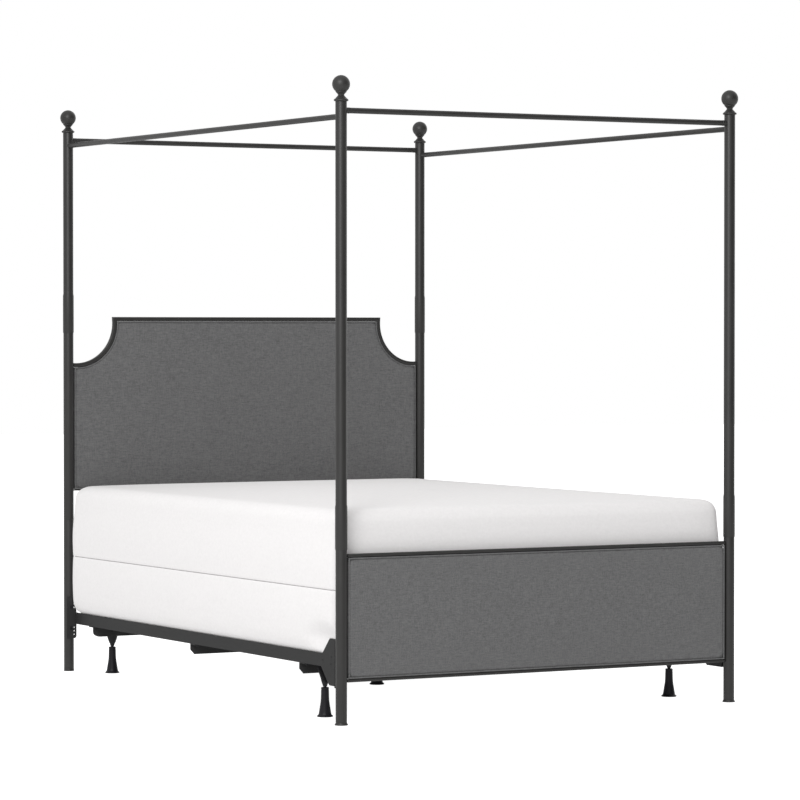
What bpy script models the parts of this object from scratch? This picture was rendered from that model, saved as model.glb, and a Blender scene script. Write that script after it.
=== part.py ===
"""Four poster canopy bed, built piece by piece as separate closed solids.

Frame: +X runs across the bed from left to right as seen from its foot, +Y runs from foot to head,
+Z is up. The origin is on the floor under the middle of the bed. All lengths are in metres.
"""

from math import asin, cos, pi, radians, sin

import bmesh
import bpy
from mathutils import Vector

# ---------------------------------------------------------------- driving dimensions
CONTACT_GAP = 0.0003  # between pieces that touch

POST_X = 0.770  # post axes, each side of the middle
POST_Y = 1.0956
POST_RADIUS = 0.019
POST_WALL = 0.0015
POST_TOP = 2.0506
BELL_RADIUS = 0.0205  # swaged lower end of an upper post, which slips over the tube below
BELL_BORE = 0.0193
BELL_LENGTH = 0.142
BELL_TAPER = 0.006
FOOT_BELL_BOTTOM = 0.578
HEAD_BELL_BOTTOM = 1.290
SPIGOT_LENGTH = 0.112  # how far a lower tube reaches into the bell above it
HEAD_JOINT = 0.577  # butt joint in a head post, with a spigot inside
CAP_HEIGHT = 0.008
PLUG_RADIUS = 0.0171
PLUG_LENGTH = 0.020

BALL_RADIUS = 0.0296
BALL_CENTRE = 0.0573  # above the post's top
FINIAL_PLUG = 0.015

RAIL_RADIUS = 0.0095
RAIL_WALL = 0.0012
END_RAIL_HEIGHT = 2.0222  # canopy rails at head and foot
SIDE_RAIL_HEIGHT = 2.0023  # canopy rails along the sides
BUSH_RADIUS = 0.0098
BUSH_REACH = 0.033  # from the post's axis to the end of the rail tube
STUD_RADIUS = 0.0079
STUD_LENGTH = 0.012

PANEL_HALF_WIDTH = 0.7505  # steel edging of headboard and footboard, between the posts
PAD_HALF_WIDTH = 0.7470
TRIM_DEPTH = 0.016
PAD_CLEARANCE = 0.0025  # between the scooped corners of the pad and the steel edging
PAD_PROUD = 0.002  # pad face in front of the steel edging
PAD_DEPTH = 0.013
BOARD_DEPTH = 0.0045

HEADBOARD_TOP = 1.351
HEADBOARD_BOTTOM = 0.688
HEADBOARD_TRIM = 0.016
HEADBOARD_BOTTOM_BAR = 0.005
SCOOP_RADIUS = 0.1525
SCOOP_INSET = 0.0325  # scoop centre, inboard of the post's axis
SCOOP_DROP = 0.024  # scoop centre, below the headboard's top
SCOOP_STEPS = 10

FOOTBOARD_TOP = 0.564
FOOTBOARD_BOTTOM = 0.140
FOOTBOARD_TOP_TRIM = 0.0125
FOOTBOARD_BOTTOM_TRIM = 0.011

RAIL_FACE_X = 0.752  # outer face of a side rail
RAIL_BOTTOM = 0.180
RAIL_TOP = 0.2245
ANGLE_LEG = 0.038  # width of the horizontal leg of the angle sections
ANGLE_THICKNESS = 0.003

BRACKET_THICKNESS = 0.003
BRACKET_Y = 1.0763  # face of a bracket against its post
FOOT_BRACKET_BOTTOM = 0.121
FOOT_BRACKET_TOP = 0.278
HEAD_BRACKET_BOTTOM = 0.126
HEAD_BRACKET_TOP = 0.2845
BOLT_HOLE_RADIUS = 0.0035

CROSS_MEMBER_Y = {"head": 0.918, "middle": 0.079, "foot": -0.760}
CROSS_END_X = 0.750
CROSS_BOTTOM = 0.141

GLIDE_HEIGHT = 0.0995
STEM_RADIUS = 0.0055
STEM_TOP = 0.1165
SOCKET_BORE = 0.0058
LEG_OFFSET = 0.0218  # leg axis beside the upright leg of its cross member
FOOT_LEG_OFFSET = 0.0340  # the same for the tops of the two slim foot legs
SPLAY = 0.0415  # how far the foot legs lean towards the foot of the bed

BOX_SPRING_BOTTOM = 0.1835
BOX_SPRING_TOP = 0.4400
BOX_SPRING_SEAT = 0.7470  # half width between the side rails and their brackets
MATTRESS_BOTTOM = 0.4405
MATTRESS_TOP = 0.7260
BEDDING_HALF_WIDTH = 0.7735
BEDDING_FOOT_Y = -1.060
BEDDING_HEAD_Y = 1.070

TUBE_SEGMENTS = 24
SMALL_SEGMENTS = 16
SIDES = {"left": -1, "right": 1}
ENDS = {"foot": -1, "head": 1}

FINISHES = {  # colour, roughness, metallic
    "charcoal_steel": ((0.058, 0.056, 0.053), 0.45, 0.6),
    "black_steel": ((0.012, 0.012, 0.015), 0.4, 0.3),
    "black_plastic": ((0.016, 0.015, 0.019), 0.35, 0.0),
    "grey_linen": ((0.135, 0.135, 0.137), 0.95, 0.0),
    "white_knit": ((0.83, 0.82, 0.82), 0.9, 0.0),
    "board": ((0.10, 0.10, 0.10), 0.9, 0.0),
}


# ---------------------------------------------------------------- helpers
def clear_scene():
    for old in list(bpy.data.objects):
        bpy.data.objects.remove(old)


def new_collection(name):
    made = bpy.data.collections.new(name)
    bpy.context.scene.collection.children.link(made)
    return made


def finish(name):
    """The material of that name, made once."""
    found = bpy.data.materials.get(name)
    if found:
        return found
    colour, roughness, metallic = FINISHES[name]
    made = bpy.data.materials.new(name)
    made.use_nodes = True
    shader = made.node_tree.nodes["Principled BSDF"]
    shader.inputs["Base Color"].default_value = (*colour, 1.0)
    shader.inputs["Roughness"].default_value = roughness
    shader.inputs["Metallic"].default_value = metallic
    return made


def place(name, data, material, location=(0, 0, 0), rotation=(0, 0, 0)):
    piece = bpy.data.objects.new(name, data)
    piece.location = location
    piece.rotation_euler = rotation
    piece.data.materials.append(finish(material))
    PARTS.objects.link(piece)
    return piece


def add_screw(piece, segments):
    screw = piece.modifiers.new("Turn", "SCREW")
    screw.axis = "Z"
    screw.angle = 2 * pi
    screw.steps = segments
    screw.render_steps = segments
    screw.use_merge_vertices = True
    screw.merge_threshold = 0.00001
    screw.use_smooth_shade = True


def turned(name, profile, material, segments=TUBE_SEGMENTS, ring=False, **where):
    """A turned piece from (radius, height) points, running down its outer side. A ring is a tube."""
    mesh = bpy.data.meshes.new(name)
    edges = [(i, i + 1) for i in range(len(profile) - 1)]
    if ring:
        edges.append((len(profile) - 1, 0))
    mesh.from_pydata([(radius, 0, height) for radius, height in profile], edges, [])
    piece = place(name, mesh, material, **where)
    add_screw(piece, segments)
    return piece


def flat(name, outlines, thickness, material, **where):
    """A flat plate from a closed outline, with any further outlines as holes in it."""
    curve = bpy.data.curves.new(name, "CURVE")
    curve.dimensions = "2D"
    curve.fill_mode = "BOTH"
    curve.extrude = thickness / 2
    for outline in outlines:
        spline = curve.splines.new("POLY")
        spline.points.add(len(outline) - 1)
        for point, (x, y) in zip(spline.points, outline):
            point.co = (x, y, 0, 1)
        spline.use_cyclic_u = True
    return place(name, curve, material, **where)


UPRIGHT = (pi / 2, 0, 0)  # outline (x, z), thickness along Y
LENGTHWISE = (pi / 2, 0, pi / 2)  # outline (y, z), thickness along X


def as_mesh(piece):
    """Turns a curve object into a clean mesh object of the same name and place."""
    name = piece.name
    bpy.context.view_layer.update()
    seen = piece.evaluated_get(bpy.context.evaluated_depsgraph_get())
    mesh = bpy.data.meshes.new_from_object(seen)
    work = bmesh.new()
    work.from_mesh(mesh)
    bmesh.ops.remove_doubles(work, verts=work.verts, dist=0.00002)
    bmesh.ops.dissolve_limit(work, angle_limit=radians(0.5), verts=work.verts, edges=work.edges)
    work.to_mesh(mesh)
    work.free()
    solid = bpy.data.objects.new(name + "_solid", mesh)
    solid.matrix_world = piece.matrix_world
    PARTS.objects.link(solid)
    bpy.data.objects.remove(piece)
    solid.name = name
    return solid


def to_tool(piece):
    """Makes a piece a helper for a Boolean, which isn't part of the bed."""
    PARTS.objects.unlink(piece)
    TOOLS.objects.link(piece)
    piece.hide_render = True
    piece.display_type = "WIRE"
    return piece


def combine(piece, helper, operation):
    boolean = piece.modifiers.new(operation.title(), "BOOLEAN")
    boolean.operation = operation
    boolean.object = helper
    boolean.solver = "EXACT"


def add_bevel(piece, width, segments, angle=50):
    bevel = piece.modifiers.new("Rounding", "BEVEL")
    bevel.width = width
    bevel.segments = segments
    bevel.limit_method = "ANGLE"
    bevel.angle_limit = radians(angle)


def circle(centre, radius, steps=10):
    turns = [2 * pi * i / steps for i in range(steps)]
    return [(centre[0] + radius * cos(t), centre[1] + radius * sin(t)) for t in turns]


def rectangle(x0, x1, y0, y1):
    return [(x0, y0), (x1, y0), (x1, y1), (x0, y1)]


def mirrored(points):
    """An open outline followed by its mirror image across x = 0, in reverse."""
    return points + [(-x, y) for x, y in reversed(points)]


def box(name, low, high, material):
    """A plain block between two corners."""
    low, high = Vector(low), Vector(high)
    work = bmesh.new()
    bmesh.ops.create_cube(work, size=1.0)
    bmesh.ops.scale(work, vec=high - low, verts=work.verts)
    bmesh.ops.translate(work, vec=(low + high) / 2, verts=work.verts)
    mesh = bpy.data.meshes.new(name)
    work.to_mesh(mesh)
    work.free()
    return place(name, mesh, material)


# ---------------------------------------------------------------- posts
def upper_post(name, x, y, bell_bottom):
    bore = POST_RADIUS - POST_WALL
    bell_top = bell_bottom + BELL_LENGTH
    profile = [
        (POST_RADIUS, POST_TOP),
        (POST_RADIUS, bell_top + BELL_TAPER),
        (BELL_RADIUS, bell_top),
        (BELL_RADIUS, bell_bottom),
        (BELL_BORE, bell_bottom),
        (BELL_BORE, bell_top - BELL_TAPER),
        (bore, bell_top),
        (bore, POST_TOP),
    ]
    turned(name, profile, "charcoal_steel", ring=True, location=(x, y, 0))


def plain_tube(name, x, y, bottom, top):
    bore = POST_RADIUS - POST_WALL
    profile = [(POST_RADIUS, top), (POST_RADIUS, bottom), (bore, bottom), (bore, top)]
    turned(name, profile, "charcoal_steel", ring=True, location=(x, y, 0))


def head_leg(name, x, y):
    """The lowest tube of a head post, swaged at its top into a spigot for the tube above."""
    bore = POST_RADIUS - POST_WALL
    spigot = bore - 0.0005
    spigot_bore = spigot - POST_WALL
    spigot_top = HEAD_JOINT + 0.063
    profile = [
        (spigot, spigot_top),
        (spigot, HEAD_JOINT),
        (POST_RADIUS, HEAD_JOINT),
        (POST_RADIUS, CAP_HEIGHT + CONTACT_GAP),
        (bore, CAP_HEIGHT + CONTACT_GAP),
        (bore, HEAD_JOINT - 0.012),
        (spigot_bore, HEAD_JOINT - 0.002),
        (spigot_bore, spigot_top),
    ]
    turned(name, profile, "charcoal_steel", ring=True, location=(x, y, 0))


def foot_cap(name, x, y, flare):
    profile = [
        (0, CAP_HEIGHT + PLUG_LENGTH),
        (PLUG_RADIUS, CAP_HEIGHT + PLUG_LENGTH),
        (PLUG_RADIUS, CAP_HEIGHT),
        (POST_RADIUS, CAP_HEIGHT),
        (POST_RADIUS + flare, 0.002),
        (POST_RADIUS + flare, 0),
        (0, 0),
    ]
    turned(name, profile, "charcoal_steel", 20, location=(x, y, 0))


def ball_arc(cup_radius, steps=9):
    """Points down the ball from its top to the circle of the cup's radius on its underside."""
    last = pi - asin(cup_radius / BALL_RADIUS)
    turns = [last * i / steps for i in range(steps + 1)]
    return [(BALL_RADIUS * sin(t), BALL_CENTRE + BALL_RADIUS * cos(t)) for t in turns]


def finial(name, x, y):
    profile = ball_arc(cup_radius=0.0183) + [
        (0.0140, 0.0282),
        (0.0103, 0.0214),
        (0.0152, 0.0155),
        (0.0225, 0.0078),
        (0.0244, 0.0046),
        (0.0228, 0.0014),
        (POST_RADIUS, CONTACT_GAP),
        (PLUG_RADIUS, CONTACT_GAP),
        (PLUG_RADIUS, -FINIAL_PLUG),
        (0, -FINIAL_PLUG),
    ]
    turned(name, profile, "charcoal_steel", 20, location=(x, y, POST_TOP))


def build_posts():
    for end, y_sign in ENDS.items():
        for side, x_sign in SIDES.items():
            x, y = x_sign * POST_X, y_sign * POST_Y
            bell = FOOT_BELL_BOTTOM if end == "foot" else HEAD_BELL_BOTTOM
            flare = 0.0035 if end == "foot" else 0.0008
            upper_post(f"upper_post_{end}_{side}", x, y, bell)
            finial(f"finial_{end}_{side}", x, y)
            foot_cap(f"foot_cap_{end}_{side}", x, y, flare)
            if end == "foot":
                top = bell + SPIGOT_LENGTH
                plain_tube(f"foot_leg_{side}", x, y, CAP_HEIGHT + CONTACT_GAP, top)
            else:
                head_leg(f"head_leg_{side}", x, y)
                top = bell + SPIGOT_LENGTH
                plain_tube(f"headboard_side_post_{side}", x, y, HEAD_JOINT + CONTACT_GAP, top)


# ---------------------------------------------------------------- canopy
def canopy_rail(name, middle, half_span, rotation):
    """A rail tube; half_span runs from its middle to the axis of the post at its end."""
    half = half_span - BUSH_REACH
    bore = RAIL_RADIUS - RAIL_WALL
    profile = [(RAIL_RADIUS, half), (RAIL_RADIUS, -half), (bore, -half), (bore, half)]
    turned(name, profile, "charcoal_steel", SMALL_SEGMENTS, ring=True, location=middle, rotation=rotation)


def rail_bush(name, post_point, rotation, post_tool):
    """The dark coupling between a rail and its post: a stud in the rail and a saddle on the post."""
    seam = BUSH_REACH - CONTACT_GAP
    profile = [
        (0, seam + STUD_LENGTH),
        (STUD_RADIUS, seam + STUD_LENGTH),
        (STUD_RADIUS, seam),
        (BUSH_RADIUS, seam),
        (BUSH_RADIUS, 0.008),
        (0, 0.008),
    ]
    bush = turned(name, profile, "black_steel", 12, location=post_point, rotation=rotation)
    combine(bush, post_tool, "DIFFERENCE")


def post_cutter(end, side, x, y):
    """The post's own cylinder, which shapes the saddles of the bushes against it."""
    work = bmesh.new()
    radius = POST_RADIUS + CONTACT_GAP
    bmesh.ops.create_cone(
        work, cap_ends=True, segments=TUBE_SEGMENTS, radius1=radius, radius2=radius, depth=0.08
    )
    mesh = bpy.data.meshes.new(f"post_cutter_{end}_{side}")
    work.to_mesh(mesh)
    work.free()
    middle = (END_RAIL_HEIGHT + SIDE_RAIL_HEIGHT) / 2
    return to_tool(place(mesh.name, mesh, "black_steel", location=(x, y, middle)))


def build_canopy():
    along_x = (0, pi / 2, 0)
    along_y = (-pi / 2, 0, 0)
    for end, y_sign in ENDS.items():
        canopy_rail(f"canopy_rail_{end}", (0, y_sign * POST_Y, END_RAIL_HEIGHT), POST_X, along_x)
    for side, x_sign in SIDES.items():
        canopy_rail(f"canopy_rail_{side}", (x_sign * POST_X, 0, SIDE_RAIL_HEIGHT), POST_Y, along_y)
    for end, y_sign in ENDS.items():
        for side, x_sign in SIDES.items():
            x, y = x_sign * POST_X, y_sign * POST_Y
            cutter = post_cutter(end, side, x, y)
            to_middle_x = (0, -x_sign * pi / 2, 0)
            to_middle_y = (y_sign * pi / 2, 0, 0)
            name = f"rail_bush_{end}_{side}"
            rail_bush(f"{name}_cross", (x, y, END_RAIL_HEIGHT), to_middle_x, cutter)
            rail_bush(f"{name}_long", (x, y, SIDE_RAIL_HEIGHT), to_middle_y, cutter)


# ---------------------------------------------------------------- headboard and footboard
def scoop(radius, top, end_x):
    """Points of the right-hand scooped corner, from the post up to the height of the straight top."""
    centre_x = POST_X - SCOOP_INSET
    centre_z = HEADBOARD_TOP - SCOOP_DROP
    first = -pi / 2 + asin((end_x - centre_x) / radius)
    last = -pi - asin((top - centre_z) / radius)
    turns = [first + (last - first) * i / SCOOP_STEPS for i in range(SCOOP_STEPS + 1)]
    return [(centre_x + radius * cos(t), centre_z + radius * sin(t)) for t in turns]


def headboard_trim():
    """The steel tube that edges the headboard's top and scooped corners, in one bent length."""
    outer = mirrored(scoop(SCOOP_RADIUS, HEADBOARD_TOP, PANEL_HALF_WIDTH))
    inner_top = HEADBOARD_TOP - HEADBOARD_TRIM
    inner = mirrored(scoop(SCOOP_RADIUS + HEADBOARD_TRIM, inner_top, PANEL_HALF_WIDTH))
    outline = outer + inner[::-1]
    where = {"location": (0, POST_Y, 0), "rotation": UPRIGHT}
    trim = as_mesh(flat("headboard_trim", [outline], TRIM_DEPTH, "charcoal_steel", **where))
    add_bevel(trim, 0.0045, 2)


def headboard_outline(inset, bottom):
    """The outline of the cushion and its board, inside the trim."""
    radius = SCOOP_RADIUS + HEADBOARD_TRIM + inset
    corner = scoop(radius, HEADBOARD_TOP - HEADBOARD_TRIM - inset, PAD_HALF_WIDTH)
    return mirrored([(PAD_HALF_WIDTH, bottom)] + corner)


def bar(name, y, bottom, top):
    """A straight rectangular steel tube between two posts."""
    low = (-PANEL_HALF_WIDTH, y - TRIM_DEPTH / 2, bottom)
    high = (PANEL_HALF_WIDTH, y + TRIM_DEPTH / 2, top)
    add_bevel(box(name, low, high, "charcoal_steel"), min(0.0035, (top - bottom) / 4), 1)


def upholstered(prefix, outline, post_y):
    """A foam pad with its cover, facing the foot of the bed, and the board behind it."""
    face = post_y - TRIM_DEPTH / 2 - PAD_PROUD
    pad_middle = face + PAD_DEPTH / 2
    board_middle = face + PAD_DEPTH + CONTACT_GAP + BOARD_DEPTH / 2
    flat(f"{prefix}_pad", [outline], PAD_DEPTH, "grey_linen", location=(0, pad_middle, 0), rotation=UPRIGHT)
    flat(f"{prefix}_board", [outline], BOARD_DEPTH, "board", location=(0, board_middle, 0), rotation=UPRIGHT)


def build_headboard():
    headboard_trim()
    bar_top = HEADBOARD_BOTTOM + HEADBOARD_BOTTOM_BAR
    bar("headboard_bottom_bar", POST_Y, HEADBOARD_BOTTOM, bar_top)
    outline = headboard_outline(PAD_CLEARANCE, bar_top + CONTACT_GAP)
    upholstered("headboard", outline, POST_Y)


def build_footboard():
    inner_bottom = FOOTBOARD_BOTTOM + FOOTBOARD_BOTTOM_TRIM
    inner_top = FOOTBOARD_TOP - FOOTBOARD_TOP_TRIM
    bar("footboard_top_bar", -POST_Y, inner_top, FOOTBOARD_TOP)
    bar("footboard_bottom_bar", -POST_Y, FOOTBOARD_BOTTOM, inner_bottom)
    outline = rectangle(
        -PAD_HALF_WIDTH, PAD_HALF_WIDTH, inner_bottom + CONTACT_GAP, inner_top - CONTACT_GAP
    )
    upholstered("footboard", outline, -POST_Y)


# ---------------------------------------------------------------- bed frame
def side_rail(side, sign):
    """Angle iron: an upright outer leg and a ledge inwards at the bottom for the box spring."""
    face = RAIL_FACE_X
    inner = face - ANGLE_THICKNESS
    ledge = face - ANGLE_LEG
    ledge_top = RAIL_BOTTOM + ANGLE_THICKNESS
    section = [
        (face, RAIL_BOTTOM),
        (face, RAIL_TOP),
        (inner, RAIL_TOP),
        (inner, ledge_top),
        (ledge, ledge_top),
        (ledge, RAIL_BOTTOM),
    ]
    section = [(sign * x, z) for x, z in section]
    length = 2 * (BRACKET_Y - BRACKET_THICKNESS - CONTACT_GAP)
    flat(f"side_rail_{side}", [section], length, "charcoal_steel", rotation=UPRIGHT)


def foot_bracket(side, sign):
    """A plate lapped over the outside of the side rail, with a flange against the foot post."""
    start = -BRACKET_Y + 0.001
    plate = [
        (start, FOOT_BRACKET_BOTTOM),
        (-0.985, FOOT_BRACKET_BOTTOM),
        (-0.974, 0.129),
        (-0.925, 0.182),
        (-0.937, 0.227),
        (-0.987, FOOT_BRACKET_TOP),
        (start, FOOT_BRACKET_TOP),
    ]
    bolts = [(-0.940, 0.203), (-0.998, 0.216), (-0.998, 0.1935)]
    holes = [circle(centre, BOLT_HOLE_RADIUS) for centre in bolts]
    inner_x = RAIL_FACE_X + CONTACT_GAP
    where = {"location": (sign * (inner_x + BRACKET_THICKNESS / 2), 0, 0), "rotation": LENGTHWISE}
    name = f"foot_bracket_{side}"
    bracket = as_mesh(flat(name, [plate] + holes, BRACKET_THICKNESS, "charcoal_steel", **where))
    flange_x = sorted((sign * (POST_X + 0.014), sign * (inner_x + 0.001)))
    flange = box(
        f"{name}_flange",
        (flange_x[0], -BRACKET_Y, FOOT_BRACKET_BOTTOM),
        (flange_x[1], -BRACKET_Y + BRACKET_THICKNESS, FOOT_BRACKET_TOP),
        "charcoal_steel",
    )
    combine(bracket, to_tool(flange), "UNION")


def head_bracket(side, sign):
    """A plate with two rows of holes across the front of a head post, where the side rail ends."""
    outer = POST_X + 0.0185
    inner = 0.748
    radius = 0.008
    plate = [
        (outer, HEAD_BRACKET_BOTTOM),
        (inner + radius, HEAD_BRACKET_BOTTOM),
        (inner + 0.3 * radius, HEAD_BRACKET_BOTTOM + 0.3 * radius),
        (inner, HEAD_BRACKET_BOTTOM + radius),
        (inner, 0.226),
        (0.7534, 0.270),
        (0.760, HEAD_BRACKET_TOP),
        (outer, HEAD_BRACKET_TOP),
    ]
    plate = [(sign * x, z) for x, z in plate]
    pitch = 0.0133
    heights = [first + pitch * i for first in (0.1405, 0.2437) for i in range(3)]
    holes = [circle((sign * 0.7585, z), 0.003, 8) for z in heights]
    where = {"location": (0, BRACKET_Y - BRACKET_THICKNESS / 2, 0), "rotation": UPRIGHT}
    name = f"head_bracket_{side}"
    flat(name, [plate] + holes, BRACKET_THICKNESS, "charcoal_steel", **where)


def cross_member(place_name, y, ledge_sign, corner):
    """Angle iron across the bed: an upright leg with cut corners, and a ledge under the side rails."""
    top = RAIL_BOTTOM - CONTACT_GAP
    upright = mirrored([(CROSS_END_X, top)] + corner)
    where = {"location": (0, y, 0), "rotation": UPRIGHT}
    name = f"cross_member_{place_name}"
    member = as_mesh(flat(name, [upright], ANGLE_THICKNESS, "charcoal_steel", **where))
    ledge_y = sorted((y - ledge_sign * ANGLE_THICKNESS / 2, y + ledge_sign * ANGLE_LEG))
    ledge = box(
        f"{name}_ledge",
        (-CROSS_END_X, ledge_y[0], top - ANGLE_THICKNESS),
        (CROSS_END_X, ledge_y[1], top),
        "charcoal_steel",
    )
    combine(member, to_tool(ledge), "UNION")


def socket_profile():
    """A funnel under the cross member, narrowing to a neck with a blind bore for the glide's stem."""
    top = RAIL_BOTTOM - ANGLE_THICKNESS - 2 * CONTACT_GAP
    neck = GLIDE_HEIGHT + 0.003
    return [
        (0, top),
        (0.0200, top),
        (0.0200, 0.1600),
        (0.0200, 0.1410),
        (0.0186, 0.1350),
        (0.0160, 0.1260),
        (0.0130, 0.1180),
        (0.0095, 0.1110),
        (0.0076, 0.1040),
        (0.0076, neck),
        (SOCKET_BORE, neck),
        (SOCKET_BORE, STEM_TOP + 0.001),
        (0, STEM_TOP + 0.001),
    ]


def slim_socket_profile():
    """A slim foot leg: an even tube down to an elbow, then the same neck and bore."""
    funnel = socket_profile()
    top = funnel[0][1]
    tube = [(0, top), (0.0108, top), (0.0105, 0.1300), (0.0118, 0.1200), (0.0118, 0.1180), (0.0105, 0.1130)]
    return tube + funnel[8:]


def lean(piece, shift, start=0.118, stop=0.170):
    """Shifts the upper rings of a leg along Y, from nothing at start to the full lean at stop."""
    for vertex in piece.data.vertices:
        share = min(1.0, max(0.0, (vertex.co.z - start) / (stop - start)))
        vertex.co.y += shift * share


def glide_profile():
    """A tall bell-shaped floor glide with the stem that turns in its socket."""
    return [
        (0, STEM_TOP),
        (STEM_RADIUS, STEM_TOP),
        (STEM_RADIUS, GLIDE_HEIGHT),
        (0.0132, GLIDE_HEIGHT),
        (0.0135, 0.0850),
        (0.0141, 0.0610),
        (0.0158, 0.0450),
        (0.0181, 0.0310),
        (0.0215, 0.0100),
        (0.0272, 0.0040),
        (0.0272, 0.0015),
        (0.0255, 0),
        (0, 0),
    ]


def leg(number, x, y, splay=0.0):
    profile = slim_socket_profile() if splay else socket_profile()
    socket = turned(f"leg_socket_{number}", profile, "black_steel", SMALL_SEGMENTS, location=(x, y, 0))
    if splay:
        socket = as_mesh(socket)
        lean(socket, splay)
        socket.data.shade_smooth()
    turned(f"glide_{number}", glide_profile(), "black_plastic", SMALL_SEGMENTS, location=(x, y, 0))


def build_frame():
    for side, sign in SIDES.items():
        side_rail(side, sign)
        foot_bracket(side, sign)
        head_bracket(side, sign)
    cut = [(CROSS_END_X, CROSS_BOTTOM + 0.0175), (CROSS_END_X - 0.016, CROSS_BOTTOM)]
    rounded = [
        (CROSS_END_X - 0.030 * (1 - cos(t)), CROSS_BOTTOM + 0.019 * (1 - sin(t)))
        for t in (pi / 2 * i / 5 for i in range(6))
    ]
    corners = {"head": rounded, "middle": cut, "foot": cut}
    for end, y in CROSS_MEMBER_Y.items():
        cross_member(end, y, 1 if end == "head" else -1, corners[end])
    head_y = CROSS_MEMBER_Y["head"] + LEG_OFFSET
    foot_y = CROSS_MEMBER_Y["foot"] - FOOT_LEG_OFFSET - SPLAY
    leg("head_left", -0.660, head_y)
    leg("head_right", 0.660, head_y)
    leg("middle", 0.0, CROSS_MEMBER_Y["middle"] - LEG_OFFSET)
    leg("foot_left", -0.692, foot_y, SPLAY)
    leg("foot_right", 0.692, foot_y, SPLAY)


# ---------------------------------------------------------------- bedding
def stepped_in(piece, height, half_width):
    """Narrows a block below a height to what fits between the side rails."""
    work = bmesh.new()
    work.from_mesh(piece.data)
    for level in (height, height + 0.020):
        geometry = work.verts[:] + work.edges[:] + work.faces[:]
        bmesh.ops.bisect_plane(work, geom=geometry, plane_co=(0, 0, level), plane_no=(0, 0, 1))
    for vertex in work.verts:
        if vertex.co.z < height + 0.001:
            vertex.co.x *= half_width / BEDDING_HALF_WIDTH
    work.to_mesh(piece.data)
    work.free()


def build_bedding():
    """Plain closed solids of the box spring and the mattress that rests on it."""
    half = BEDDING_HALF_WIDTH
    low = (-half, BEDDING_FOOT_Y, BOX_SPRING_BOTTOM)
    spring = box("box_spring", low, (half, BEDDING_HEAD_Y, BOX_SPRING_TOP), "white_knit")
    stepped_in(spring, FOOT_BRACKET_TOP + 0.006, BOX_SPRING_SEAT)
    add_bevel(spring, 0.012, 2, angle=60)
    low = (-half, BEDDING_FOOT_Y, MATTRESS_BOTTOM)
    mattress = box("mattress", low, (half, BEDDING_HEAD_Y, MATTRESS_TOP), "white_knit")
    add_bevel(mattress, 0.045, 3)


clear_scene()
PARTS = new_collection("four_poster_canopy_bed")
TOOLS = new_collection("cutters")
build_posts()
build_canopy()
build_headboard()
build_footboard()
build_frame()
build_bedding()
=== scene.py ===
"""The look of a four poster canopy bed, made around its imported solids.

Every piece is made in metres in the frame of the solids: +X across the bed, +Y from foot to head,
+Z up, with the floor at z = 0. Pieces sit at the origin with their place in their mesh.
"""

import logging
from dataclasses import dataclass, field
from enum import Enum
from math import asin, cos, hypot, pi, radians, sin
from typing import Any, Callable, Sequence

import bmesh
import bpy
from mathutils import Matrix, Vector
from mathutils.geometry import delaunay_2d_cdt, tessellate_polygon


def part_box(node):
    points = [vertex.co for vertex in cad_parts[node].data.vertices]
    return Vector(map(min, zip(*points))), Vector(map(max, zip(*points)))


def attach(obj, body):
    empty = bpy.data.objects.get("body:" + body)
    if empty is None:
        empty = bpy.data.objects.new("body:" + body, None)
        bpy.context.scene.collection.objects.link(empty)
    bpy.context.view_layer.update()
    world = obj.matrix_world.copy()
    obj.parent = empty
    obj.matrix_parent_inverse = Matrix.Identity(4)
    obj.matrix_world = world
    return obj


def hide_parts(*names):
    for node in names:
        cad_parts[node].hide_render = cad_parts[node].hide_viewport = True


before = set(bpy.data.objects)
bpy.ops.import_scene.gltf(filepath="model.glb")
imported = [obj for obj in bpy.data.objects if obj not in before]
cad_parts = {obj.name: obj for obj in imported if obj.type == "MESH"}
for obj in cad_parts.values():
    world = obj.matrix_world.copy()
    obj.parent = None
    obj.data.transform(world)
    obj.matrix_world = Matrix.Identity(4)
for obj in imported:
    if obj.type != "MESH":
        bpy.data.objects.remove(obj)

LOG = logging.getLogger("bed")
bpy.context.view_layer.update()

Point = tuple[float, float]
Outline = list[Point]
Colour = tuple[float, float, float]
Piece = bpy.types.Object

UP = Vector((0, 0, 1))


class Side(Enum):
    """A side of the bed, as seen from its foot."""

    LEFT = -1
    RIGHT = 1

    @property
    def word(self) -> str:
        """The side's name inside a node's name."""
        return self.name.lower()


class End(Enum):
    """An end of the bed."""

    FOOT = -1
    HEAD = 1

    @property
    def word(self) -> str:
        """The end's name inside a node's name."""
        return self.name.lower()


class Block:
    """The box that one or more solids fill at rest."""

    def __init__(self, *nodes: str) -> None:
        """Reads the box.

        Args:
            nodes: names of the solids that the box holds.
        """
        corners = [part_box(node) for node in nodes]
        self.low = Vector([min(low[i] for low, _ in corners) for i in range(3)])
        self.high = Vector([max(high[i] for _, high in corners) for i in range(3)])

    @property
    def centre(self) -> Vector:
        """The middle of the box."""
        return (self.low + self.high) / 2

    @property
    def size(self) -> Vector:
        """The box's three sizes."""
        return self.high - self.low


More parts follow.
